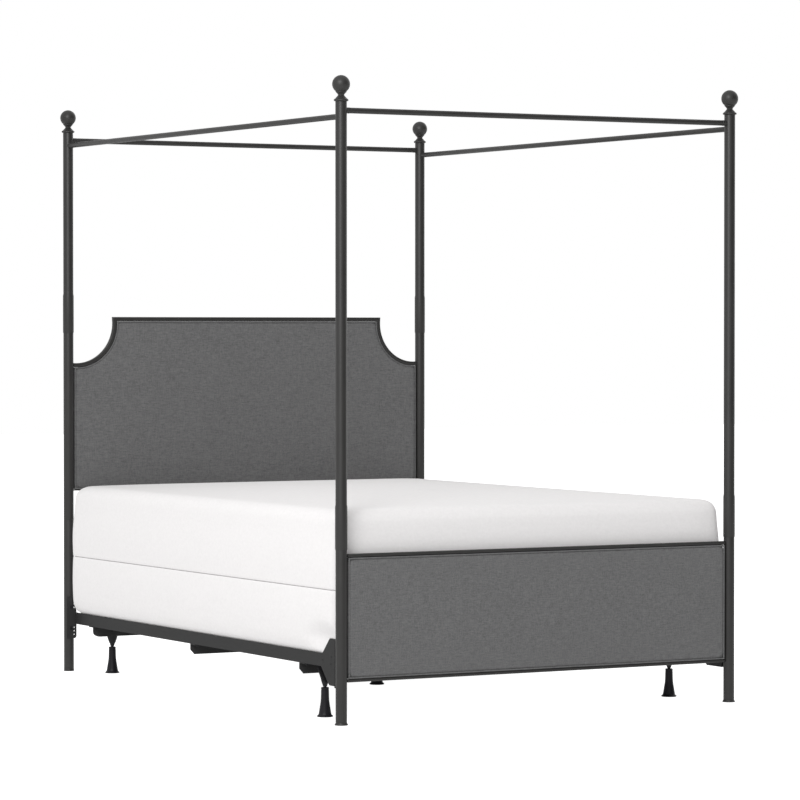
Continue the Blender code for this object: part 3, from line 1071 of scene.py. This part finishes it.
@dataclass(frozen=True)
class Scoop:
    """A quarter-round scoop that takes off a panel's top corner beside the post."""

    centre_x: float
    centre_z: float
    radius: float
    steps: int = 22

    def arc(self, inset: float, top: float, side: float) -> Outline:
        """Points of the right-hand scoop.

        Args:
            inset: how far outside the scoop's own radius the arc lies.
            top: the height where it meets the straight top.
            side: the x where it ends at the post.

        Returns:
            The points, from the post up to the straight top.
        """
        radius = self.radius + inset
        first = -pi / 2 + asin((side - self.centre_x) / radius)
        last = -pi - asin((top - self.centre_z) / radius)
        turns = [first + (last - first) * i / self.steps for i in range(self.steps + 1)]
        return [(self.centre_x + radius * cos(t), self.centre_z + radius * sin(t)) for t in turns]


@dataclass
class PaddedPanel(SubAssembly):
    """A cloth-covered panel in a steel edging: the shared parts of headboard and footboard."""

    prefix: str = "footboard"
    welt_radius: float = 0.0027
    round_over: float = 0.0085

    def plan(self) -> PanelPlan:
        """The plan of the cushion inside the edging."""
        block = Block(f"{self.prefix}_pad")
        return PanelPlan(block.high.x, block.low.z, block.high.z)

    def upholster(self) -> None:
        """Makes the cushion, its welt and the cloth-covered board behind it."""
        plan = self.plan()
        block = Block(f"{self.prefix}_pad")
        face, back = block.low.y, block.high.y
        self.cushion(plan, face, back)
        self.welt(plan, face)
        self.backing(plan)

    def cushion(self, plan: PanelPlan, face: float, back: float) -> None:
        """Makes the foam cushion in its cloth, swelled a little by pressure from inside.

        Args:
            plan: its outline.
            face: the Y of its face.
            back: the Y of its back.
        """
        welt = 2 * self.welt_radius
        levels = [(0.0002, back), (0.0, back - 0.004), (0.0014, back - 0.0052)]
        levels.append((welt - 0.0004, face + 0.0072))
        for i in range(7):
            turn = pi / 2 * i / 6
            inset = welt + self.round_over * (1 - cos(turn))
            levels.append((inset, face + 0.0006 + 0.0062 * (1 - sin(turn))))
        levels += [(0.019, face + 0.0003), (0.026, face + 0.0001), (0.040, face)]
        piece = filled_loft(f"{self.prefix}_cushion", plan, levels, 0.034)

        def free(point: Vector) -> float:
            """1 for the middle of the face, which may swell, and 0 for the edges and back."""
            return 1.0 if point.y < face + 0.0002 else 0.0

        swell(piece, free, pressure=2.0, cap=0.0018)
        smoothed(piece, 1)
        self.keep(piece, LINEN, f"{self.prefix}_pad")

    def welt(self, plan: PanelPlan, face: float) -> None:
        """Makes the corded welt that follows the cushion's edge.

        Args:
            plan: the cushion's outline.
            face: the Y of the cushion's face.
        """
        path = plan.ring(self.welt_radius + 0.0002)
        name = f"{self.prefix}_welt"
        piece = swept(name, path, circle(self.welt_radius, 10), face + self.welt_radius + 0.0008, cyclic=True)
        self.keep(piece, LINEN)

    def backing(self, plan: PanelPlan) -> None:
        """Makes the cloth-covered board, with a folded hem and its staples.

        Args:
            plan: the cushion's outline.
        """
        node = f"{self.prefix}_board"
        block = Block(node)
        inner, outer = block.low.y, block.high.y
        levels = [
            (0.0006, inner),
            (0.0003, inner + 0.0010),
            (0.0006, outer - 0.0010),
            (0.0020, outer - 0.0004),
            (0.0180, outer - 0.0003),
            (0.0190, outer - 0.0010),
            (0.0230, outer - 0.0013),
            (0.0400, outer - 0.0014),
        ]
        piece = filled_loft(f"{self.prefix}_back_cover", plan, levels, 0.060)
        self.keep(piece, BACKING, node)
        staples = []
        ring = plan.ring(0.010, 0.052)
        for i, (x, z) in enumerate(ring):
            ahead = Vector(ring[(i + 1) % len(ring)]) - Vector((x, z))
            if ahead.length < 0.02:
                continue
            run = ahead.normalized() * 0.005
            bar = [(x - run.x, z - run.y), (x, z), (x + run.x, z + run.y)]
            staples.append(swept("staple", bar, circle(0.0004, 6), outer - 0.0001))
        self.keep(joined(f"{self.prefix}_staples", staples), BLACK_STEEL)


@dataclass
class Headboard(PaddedPanel):
    """The headboard with its scooped corners."""

    prefix: str = "headboard"
    scoop_radius: float = 0.1525
    scoop_inset: float = 0.0325
    scoop_drop: float = 0.024
    clearance: float = 0.0001

    def scoop(self, extra: float) -> Scoop:
        """The scoop with something added to its radius."""
        post = Block("upper_post_head_right").centre.x
        top = Block("headboard_trim").high.z
        return Scoop(post - self.scoop_inset, top - self.scoop_drop, self.scoop_radius + extra)

    def plan(self) -> PanelPlan:
        """The plan of the cushion inside the edging."""
        block = Block("headboard_pad")
        trim = Block("headboard_trim")
        top = trim.high.z - trim.size.y - self.clearance
        return PanelPlan(block.high.x, block.low.z, top, self.scoop(trim.size.y + self.clearance))

    def build(self) -> None:
        """Makes the edging and what it holds."""
        block = Block("headboard_trim")
        half = block.size.y / 2
        arc = self.scoop(half).arc(0, block.high.z - half, block.high.x)
        path = arc + [(-x, z) for x, z in reversed(arc)]
        square = [(-half, -half), (half, -half), (half, half), (-half, half)]
        section = filleted(square, 0.0050, closed=True, steps=4)
        piece = swept("headboard_edging", path, section, block.centre.y)
        self.keep(piece, CHARCOAL, "headboard_trim")
        self.carry("headboard_bottom_bar", CHARCOAL, 0.0006)
        self.upholster()


@dataclass
class Footboard(PaddedPanel):
    """The low straight footboard."""

    def build(self) -> None:
        """Makes the edging and what it holds."""
        for place in ("top", "bottom"):
            self.carry(f"footboard_{place}_bar", CHARCOAL, 0.0008)
        self.upholster()


@dataclass
class BedFrame(SubAssembly):
    """The angle-iron frame: rails, brackets, cross members, legs and glides."""

    members: tuple[str, ...] = ("head", "middle", "foot")
    legs: tuple[str, ...] = ("head_left", "head_right", "middle", "foot_left", "foot_right")
    lean_start: float = 0.118
    lean_rise: float = 0.052

    def build(self) -> None:
        """Makes the legs and fasteners, and dresses the rest."""
        for side in Side:
            self.carry(f"side_rail_{side.word}", RAIL_PAINT, 0.0005)
            self.carry(f"foot_bracket_{side.word}", RAIL_PAINT, 0.0004)
            self.carry(f"head_bracket_{side.word}", RAIL_PAINT, 0.0004)
            self.bracket_bolts(side)
        for member in self.members:
            self.carry(f"cross_member_{member}", RAIL_PAINT, 0.0005)
            self.member_bolts(member)
        for leg in self.legs:
            self.socket(leg)
            self.glide(leg)
            self.rivets(leg)

    def bracket_bolts(self, side: Side) -> None:
        """Makes the bolts in a side's two brackets.

        Args:
            side: which side of the bed.
        """
        heads: list[Piece] = []
        outward = Vector((side.value, 0, 0))
        rail = Block(f"side_rail_{side.word}")
        face = max(abs(rail.low.x), abs(rail.high.x)) * side.value
        for y, z in ((-0.940, 0.203), (-0.998, 0.216), (-0.998, 0.1935)):
            heads.append(self.screw_head("bolt", Vector((face, y, z)), outward, 0.0031, 0.0026, 16))
        post = Block(f"upper_post_foot_{side.word}").centre
        foot = Block(f"foot_bracket_{side.word}")
        head = Block(f"head_bracket_{side.word}")
        for y, facing, block in ((foot.low.y + 0.003, 1, foot), (head.low.y, -1, head)):
            for share in (0.24, 0.76):
                z = block.low.z + block.size.z * share
                at = Vector((post.x, y, z))
                heads.append(self.screw_head("bolt", at, Vector((0, facing, 0)), 0.0062, 0.0042, 6))
        self.keep(joined(f"bracket_bolts_{side.word}", heads), BLACK_STEEL)

    def member_bolts(self, member: str) -> None:
        """Makes the nuts under a cross member's ends.

        Args:
            member: which cross member.
        """
        block = Block(f"cross_member_{member}")
        upright = self.upright_y(member)
        y = (block.low.y + block.high.y) / 2 + (block.centre.y - upright) * 0.25
        z = block.high.z - 0.003
        heads = []
        for side in Side:
            at = Vector((side.value * (block.high.x - 0.017), y, z))
            heads.append(self.screw_head("nut", at, -UP, 0.0068, 0.0048, 6))
            heads.append(self.screw_head("thread", at - UP * 0.0040, -UP, 0.0030, 0.0040, 14))
        self.keep(joined(f"member_nuts_{member}", heads), BLACK_STEEL)

    def upright_y(self, member: str) -> float:
        """The Y of the middle of a cross member's upright leg."""
        block = Block(f"cross_member_{member}")
        return block.low.y + 0.0015 if member == "head" else block.high.y - 0.0015

    def rivets(self, leg: str) -> None:
        """Makes the two rivets that hold a leg to its cross member.

        Args:
            leg: which leg.
        """
        member = leg.split("_")[0]
        facing = -1 if member == "head" else 1
        y = self.upright_y(member) + facing * 0.0015
        x = Block(f"glide_{leg}").centre.x
        out = Vector((0, facing, 0))
        heads = [
            self.screw_head("rivet", Vector((x + offset, y, 0.160)), out, 0.0034, 0.0018, 16)
            for offset in (-0.012, 0.012)
        ]
        self.keep(joined(f"leg_rivets_{leg}", heads), BLACK_STEEL)

    def socket(self, leg: str) -> None:
        """Makes the funnel that holds a glide, leaning where the leg leans.

        Args:
            leg: which leg.
        """
        node = f"leg_socket_{leg}"
        block = Block(node)
        glide = Block(f"glide_{leg}")
        at = Vector((glide.centre.x, glide.centre.y, 0))
        slim = leg.startswith("foot")
        body = self.slim_body(block.high.z) if slim else self.funnel_body(block.high.z)
        neck = [
            (0.0095, 0.1108),
            (0.0082, 0.1070),
            (0.0076, 0.1045),
            (0.0076, block.low.z),
            (0.0058, block.low.z),
            (0.0058, glide.high.z + 0.001),
            (0, glide.high.z + 0.001),
        ]
        piece = turned(f"leg_funnel_{leg}", filleted(body + neck, 0.0006), at, segments=40)
        if slim:
            shift = block.high.y - body[1][0] - glide.centre.y
            for vertex in piece.data.vertices:
                share = min(1.0, max(0.0, (vertex.co.z - self.lean_start) / self.lean_rise))
                vertex.co.y += shift * share
        self.keep(piece, BLACK_STEEL, node)

    @staticmethod
    def funnel_body(top: float) -> Outline:
        """The outer side of a straight leg, with a pressed groove near its top."""
        return [
            (0, top),
            (0.0200, top),
            (0.0200, 0.1740),
            (0.0193, 0.1725),
            (0.0200, 0.1700),
            (0.0200, 0.1600),
            (0.0200, 0.1500),
            (0.0200, 0.1410),
            (0.0195, 0.1378),
            (0.0186, 0.1350),
            (0.0172, 0.1300),
            (0.0160, 0.1262),
            (0.0145, 0.1220),
            (0.0130, 0.1180),
            (0.0111, 0.1138),
        ]

    @staticmethod
    def slim_body(top: float) -> Outline:
        """The outer side of a slim leg, down to the elbow above its neck."""
        return [
            (0, top),
            (0.0108, top),
            (0.0107, 0.1660),
            (0.0106, 0.1560),
            (0.0105, 0.1440),
            (0.0105, 0.1340),
            (0.0108, 0.1280),
            (0.0114, 0.1235),
            (0.0118, 0.1200),
            (0.0117, 0.1172),
            (0.0108, 0.1138),
        ]

    def glide(self, leg: str) -> None:
        """Makes a floor glide with its stem, rings and rounded foot.

        Args:
            leg: which leg.
        """
        node = f"glide_{leg}"
        block = Block(node)
        at = Vector((block.centre.x, block.centre.y, 0))
        profile = [
            (0, block.high.z),
            (0.0048, block.high.z),
            (0.0055, block.high.z - 0.0008),
            (0.0055, 0.0995),
            (0.0118, 0.0995),
            (0.0131, 0.0986),
            (0.0133, 0.0960),
            (0.0133, 0.0920),
            (0.0127, 0.0914),
            (0.0127, 0.0900),
            (0.0134, 0.0894),
            (0.0135, 0.0850),
            (0.0137, 0.0730),
            (0.0141, 0.0610),
            (0.0148, 0.0520),
            (0.0158, 0.0450),
            (0.0169, 0.0375),
            (0.0181, 0.0310),
            (0.0197, 0.0205),
            (0.0215, 0.0100),
            (0.0226, 0.0072),
            (0.0246, 0.0052),
            (0.0266, 0.0042),
            (0.0272, 0.0030),
            (0.0272, 0.0014),
            (0.0266, 0.0004),
            (0.0255, 0),
            (0, 0),
        ]
        self.keep(turned(f"floor_glide_{leg}", profile, at, segments=40), GLIDE_PLASTIC, node, body=node)


@dataclass
class Bedding(SubAssembly):
    """The box spring and the mattress, each a soft block under an even cover."""

    foot_corner: float = 0.045
    head_corner: float = 0.028
    seam_depth: float = 0.004

    def build(self) -> None:
        """Makes both."""
        self.mattress()
        self.box_spring()

    def loop(self, box: Block, inset: float) -> list[Point]:
        """A level rounded rectangle, with as many points whatever its size.

        Args:
            box: the space that it goes round.
            inset: how far inside the space it lies.

        Returns:
            Its (x, y) points.
        """
        across, along, bend = 36, 50, 8
        foot, head = (max(0.012, corner - inset) for corner in (self.foot_corner, self.head_corner))
        half_x, low_y, high_y = box.high.x - inset, box.low.y + inset, box.high.y - inset
        corners = (
            (half_x - foot, low_y + foot, foot, -pi / 2, along),
            (half_x - head, high_y - head, head, 0.0, across),
            (-half_x + head, high_y - head, head, pi / 2, along),
            (-half_x + foot, low_y + foot, foot, pi, across),
        )
        points: list[Point] = []
        for i, (x, y, radius, start, count) in enumerate(corners):
            turns = [start + pi / 2 * k / bend for k in range(bend + 1)]
            points += [(x + radius * cos(t), y + radius * sin(t)) for t in turns]
            next_x, next_y, next_radius, next_start, _ = corners[(i + 1) % 4]
            target = (next_x + next_radius * cos(next_start), next_y + next_radius * sin(next_start))
            x0, y0 = points[-1]
            points += [
                (x0 + (target[0] - x0) * k / count, y0 + (target[1] - y0) * k / count)
                for k in range(1, count)
            ]
        return points

    def block(self, name: str, levels: Sequence[tuple[float, float]], box: Block) -> Piece:
        """Makes a soft block from level rings.

        Args:
            name: the piece's name.
            levels: (inset, height) of each ring, from the middle of its underside to that of its top.
            box: the space it fills.

        Returns:
            The new piece.
        """
        points: list[Vector] = []
        rings: list[list[int]] = []
        for inset, height in levels:
            loop = self.loop(box, inset)
            rings.append(list(range(len(points), len(points) + len(loop))))
            points += [Vector((x, y, height)) for x, y in loop]
        faces = bridged(rings, len(rings[0])) + closed_off(points, rings[0]) + closed_off(points, rings[-1])
        return as_piece(name, points, faces, sharp=180)

    def caps(
        self, inset: float, height: float, crown: float, reach: float = 0.72
    ) -> list[tuple[float, float]]:
        """Rings from an edge to the middle of a nearly flat face.

        Args:
            inset: where the face starts.
            height: its height there.
            crown: how far its middle stands above that.
            reach: the inset of the last ring.

        Returns:
            The (inset, height) of each ring, from the edge inwards.
        """
        rings = []
        count = 14
        for i in range(1, count + 1):
            share = i / count
            at = inset + (reach - inset) * share
            rings.append((at, height + crown * (1 - (1 - share) ** 2)))
        return rings

    def mattress(self) -> None:
        """Makes the mattress: soft upper edges, faintly swelled sides and a crowned top."""
        box = Block("mattress")
        low, high = box.low.z, box.high.z
        under, over = 0.012, 0.052
        crown, lean = 0.018, 0.008
        levels = list(reversed(self.caps(self.seam_depth + 0.012, low, 0.0)))
        levels += [(self.seam_depth * (1 - sin(t)), low + under * (1 - cos(t))) for t in quarter(4)]
        side_low, side_high = low + under, high - crown - over
        for i in range(1, 9):
            share = i / 9
            swelled = lean * share**2 - 0.003 * sin(pi * min(1.0, share * 1.25))
            levels.append((swelled, side_low + (side_high - side_low) * share))
        levels += [(lean + over * (1 - cos(t)), side_high + over * sin(t)) for t in quarter(8)]
        levels += self.caps(lean + over, high - crown, crown)
        piece = self.block("mattress_cover", levels, box)
        swell(piece, lambda point: 0.0 if point.z < low + 0.004 else 1.0, pressure=3.0, cap=0.005)
        smoothed(piece, 1)
        self.keep(piece, BEDDING_KNIT, "mattress", body="mattress")

    def box_spring(self) -> None:
        """Makes the box spring, drawn in where it sits between the side rails."""
        box = Block("box_spring")
        rail = Block("side_rail_right", "side_rail_left")
        low, high = box.low.z, box.high.z
        seat = box.high.x - (rail.high.x - 0.003 - 0.0035)
        edge, rounding = 0.014, 0.060
        levels = list(reversed(self.caps(seat + 0.018, low + 0.0005, 0.0)))
        levels += [(seat + 0.008 * (1 - sin(t)), low + 0.0005 + 0.008 * (1 - cos(t))) for t in quarter(3)]
        start = rail.high.z + 0.002
        levels += [(seat, (low + start) / 2), (seat, start)]
        levels += [(seat * (1 - sin(t)), start + rounding * (1 - cos(t))) for t in quarter(7)[1:]]
        for i in range(1, 7):
            share = i / 7
            height = start + rounding + (high - edge - start - rounding) * share
            levels.append((-0.002 * sin(pi * share), height))
        levels += [(self.seam_depth * (1 - cos(t)), high - edge + edge * sin(t)) for t in quarter(4)]
        levels += self.caps(self.seam_depth + 0.012, high, 0.0)
        piece = self.block("box_spring_cover", levels, box)

        def free(point: Vector) -> float:
            """How free a point is to swell: not at all in the seat or on the top."""
            return 1.0 if start + 0.02 < point.z < high - 0.004 else 0.0

        swell(piece, free, pressure=3.0, cap=0.003)
        self.clear_brackets(piece)
        smoothed(piece, 1)
        self.keep(piece, BEDDING_KNIT, "box_spring", body="box_spring")
        self.dust_cover(box, seat)

    def clear_brackets(self, piece: Piece) -> None:
        """Draws the sides in where a bracket's plate stands beside them.

        Args:
            piece: the box spring's cover.
        """
        plate = Block("foot_bracket_right")
        limit = Block("side_rail_right").high.x - 0.0015
        for vertex in piece.data.vertices:
            above = max(0.0, vertex.co.z - plate.high.z - 0.004)
            beyond = max(0.0, vertex.co.y - plate.high.y - 0.010)
            most = limit + 0.5 * above + 0.5 * beyond
            if abs(vertex.co.x) > most:
                vertex.co.x = most if vertex.co.x > 0 else -most

    def dust_cover(self, box: Block, seat: float) -> None:
        """Makes the thin dark cloth stapled under the box spring.

        Args:
            box: the box spring's space.
            seat: how far in its lower part sits.
        """
        low = box.low.z
        levels = [(seat + 0.050 + 0.6 * i / 12, low + 0.0002) for i in range(13)]
        levels = [(seat + 0.049, low + 0.0006)] + levels
        levels = list(reversed(levels)) + [(seat + 0.051, low + 0.0007)]
        piece = self.block("box_spring_dust_cover", levels, box)
        self.keep(piece, BACKING, body="box_spring")


def quarter(steps: int) -> list[float]:
    """Evenly spaced turns from 0 to a quarter, with both ends."""
    return [pi / 2 * i / steps for i in range(steps + 1)]


def filled_loft(name: str, plan: PanelPlan, levels: Sequence[tuple[float, float]], spacing: float) -> Piece:
    """Makes a closed panel from rings, with a fine net of faces over its front.

    Args:
        name: the piece's name.
        plan: its outline.
        levels: (inset, Y) of each ring, from the back edge to the start of the front's middle.
        spacing: how far apart the points of the front's net are.

    Returns:
        The new piece.
    """
    points: list[Vector] = []
    rings: list[list[int]] = []
    for inset, depth in levels:
        ring = plan.ring(inset)
        rings.append(list(range(len(points), len(points) + len(ring))))
        points += [Vector((x, depth, z)) for x, z in ring]
    faces = bridged(rings, len(rings[0])) + closed_off(points, rings[0])
    last_inset, last_depth = levels[-1]
    edge = [Vector(point) for point in plan.ring(last_inset)]
    columns = int(2 * plan.half_width / spacing)
    rows = int((plan.high - plan.low) / spacing)
    reach = last_inset + spacing * 0.55
    inner_plan = [Vector(point) for point in plan.ring(reach)]
    inside = []
    for column in range(columns + 1):
        for row in range(rows + 1):
            x = -plan.half_width + 2 * plan.half_width * (column + 0.5 * (row % 2)) / columns
            point = Vector((x, plan.low + (plan.high - plan.low) * row / rows))
            if encloses(inner_plan, point):
                inside.append(point)
    count = len(edge)
    ties = [(i, (i + 1) % count) for i in range(count)]
    net = delaunay_2d_cdt(edge + inside, ties, [], 1, 1e-7)
    start = rings[-1][0]
    index = {}
    for i, origins in enumerate(net[3]):
        source = origins[0] if origins else -1
        if 0 <= source < count:
            index[i] = start + source
        else:
            index[i] = len(points)
            points.append(Vector((net[0][i].x, last_depth, net[0][i].y)))
    faces += [[index[i] for i in face] for face in net[2]]
    return as_piece(name, points, faces, sharp=60)


def encloses(outline: Sequence[Vector], point: Vector) -> bool:
    """Whether a closed outline holds a point."""
    inside = False
    for a, b in zip(outline, list(outline[1:]) + [outline[0]]):
        if (a.y > point.y) != (b.y > point.y):
            inside ^= point.x < a.x + (b.x - a.x) * (point.y - a.y) / (b.y - a.y)
    return inside


def swell(piece: Piece, free: Callable[[Vector], float], pressure: float, cap: float) -> None:
    """Swells a stuffed piece with a short cloth simulation, and keeps the result in its mesh.

    Args:
        piece: the piece.
        free: gives 1 where a point may move and 0 where it is held.
        pressure: the pressure inside.
        cap: the furthest that a point may move.
    """
    held = piece.vertex_groups.new(name="held")
    for vertex in piece.data.vertices:
        held.add([vertex.index], 1.0 - free(vertex.co), "REPLACE")
    cloth = piece.modifiers.new("Cloth", "CLOTH")
    cloth.settings.quality = 4
    cloth.settings.mass = 0.4
    cloth.settings.use_pressure = True
    cloth.settings.uniform_pressure_force = pressure
    cloth.settings.vertex_group_mass = held.name
    cloth.settings.effector_weights.gravity = 0
    cloth.point_cache.frame_start = 1
    cloth.point_cache.frame_end = 20
    scene = bpy.context.scene
    for step in range(1, 21):
        scene.frame_set(step)
    seen = piece.evaluated_get(bpy.context.evaluated_depsgraph_get())
    moved = [vertex.co.copy() for vertex in seen.data.vertices]
    piece.modifiers.remove(cloth)
    scene.frame_set(1)
    steps = [target - vertex.co for vertex, target in zip(piece.data.vertices, moved)]
    furthest = max(step.length for step in steps)
    share = min(1.0, cap / furthest)
    for vertex, step in zip(piece.data.vertices, steps):
        vertex.co += step * share
    piece.vertex_groups.clear()
    LOG.info("%s swelled by up to %.1f mm", piece.name, furthest * 1000)


def smoothed(piece: Piece, levels: int) -> None:
    """Gives a soft piece a smooth surface."""
    smooth = piece.modifiers.new("Smooth", "SUBSURF")
    smooth.levels = levels
    smooth.render_levels = levels


# ---------------------------------------------------------------- studio
@dataclass(frozen=True)
class SkyLobe:
    """A part of the surroundings that is brighter or dimmer than the rest."""

    towards: tuple[float, float, float]
    start: float
    full: float
    gain: float


@dataclass
class Studio:
    """The camera, the soft light and the pale floor."""

    camera_at: tuple[float, float, float] = (-6.4309, -11.5977, 1.3010)
    heading: float = 29.254
    dip: float = 1.1046
    lens: float = 163.36
    key_at: tuple[float, float, float] = (-5.0, -5.2, 4.8)
    key_power: float = 236.0
    bright: float = 0.95
    dim: float = 0.45
    lobes: tuple[SkyLobe, ...] = (
        SkyLobe(towards=(0.56, -0.82, 0.05), start=0.62, full=0.92, gain=0.20),
        SkyLobe(towards=(0.86, 0.50, 0.10), start=0.75, full=0.95, gain=2.0),
    )
    floor_glow: float = 1.0
    floor_bounce: float = 0.50

    def build(self) -> None:
        """Sets up everything that isn't the bed."""
        self.camera()
        self.key()
        self.sky()
        self.floor()
        bpy.context.scene.view_settings.view_transform = "Standard"

    def camera(self) -> None:
        """Places the camera."""
        data = bpy.data.cameras.new("camera")
        data.lens = self.lens
        data.sensor_width = 36
        data.clip_end = 200
        camera = bpy.data.objects.new("camera", data)
        camera.location = self.camera_at
        camera.rotation_euler = (radians(90 - self.dip), 0, radians(-self.heading))
        bpy.context.scene.collection.objects.link(camera)
        bpy.context.scene.camera = camera

    def key(self) -> None:
        """Places the large soft light to the left."""
        data = bpy.data.lights.new("key", "AREA")
        data.shape = "DISK"
        data.size = 3.5
        data.energy = self.key_power
        light = bpy.data.objects.new("key", data)
        light.location = self.key_at
        light.rotation_euler = (Vector((0, 0, 0.8)) - Vector(self.key_at)).to_track_quat("-Z", "Y").to_euler()
        bpy.context.scene.collection.objects.link(light)

    def sky(self) -> None:
        """Surrounds the bed with white, brighter towards the key light and dim on the far side of it."""
        world = bpy.data.worlds.new("studio")
        world.use_nodes = True
        bpy.context.scene.world = world
        bench = Bench(world.node_tree)
        direction = bench.add("TexCoord").outputs["Generated"]
        strength = self.facing(bench, direction, (-0.50, -0.10, 0.86), (-1.0, 1.0), (self.dim, self.bright))
        for lobe in self.lobes:
            gain = self.facing(bench, direction, lobe.towards, (lobe.start, lobe.full), (1.0, lobe.gain))
            strength = bench.maths("MULTIPLY", strength, gain)
        plain = bench.add("LightPath").outputs["Is Camera Ray"]
        seen = bench.add("Mix", {"Factor": plain, "A": strength, "B": 1.0}, data_type="FLOAT")
        background = world.node_tree.nodes["Background"]
        world.node_tree.links.new(seen.outputs["Result"], background.inputs["Strength"])
        world.node_tree.nodes["Background"].inputs["Color"].default_value = (1, 1, 1, 1)

    @staticmethod
    def facing(bench: Bench, direction: Any, towards: Sequence[float], span: Point, values: Point) -> Any:
        """Maps how closely a direction points one way to a range of values.

        Args:
            bench: the bench of the node tree.
            direction: the socket that gives the direction.
            towards: the way to compare it with.
            span: the cosines where the values start and end.
            values: the values there.

        Returns:
            The socket that gives the value.
        """
        aim = tuple(Vector(towards).normalized())
        dot = bench.add("VectorMath", {0: direction, 1: aim}, operation="DOT_PRODUCT")
        return bench.ramp(dot.outputs["Value"], *span, *values)

    def floor(self) -> None:
        """Lays the pale floor."""
        reach = 30.0
        level = -0.0004
        outline = ((-reach, -reach), (reach, -reach), (reach, reach), (-reach, reach))
        corners = [(x, y, level) for x, y in outline]
        floor = as_piece("floor", corners, [(0, 1, 2, 3)])
        material = bpy.data.materials.new("pale_floor")
        material.use_nodes = True
        shader = material.node_tree.nodes["Principled BSDF"]
        shader.inputs["Base Color"].default_value = (0.42, 0.42, 0.42, 1)
        shader.inputs["Roughness"].default_value = 0.9
        shader.inputs["Specular IOR Level"].default_value = 0.0
        shader.inputs["Emission Color"].default_value = (1, 1, 1, 1)
        bench = Bench(material.node_tree)
        plain = bench.add("LightPath").outputs["Is Camera Ray"]
        glow = bench.ramp(plain, 0.0, 1.0, self.floor_bounce, self.floor_glow)
        material.node_tree.links.new(glow, shader.inputs["Emission Strength"])
        floor.data.materials.append(material)


def main() -> None:
    """Builds the studio and the bed."""
    logging.basicConfig(level=logging.INFO, format="%(name)s: %(message)s")
    Studio().build()
    effects = Effects()
    for assembly in (
        Posts(effects),
        Canopy(effects),
        Headboard(effects),
        Footboard(effects),
        BedFrame(effects),
        Bedding(effects),
    ):
        assembly.build()
        LOG.info("%s: %d new pieces", type(assembly).__name__, len(assembly.pieces))
    bpy.context.view_layer.update()


if __name__ == "__main__":
    main()
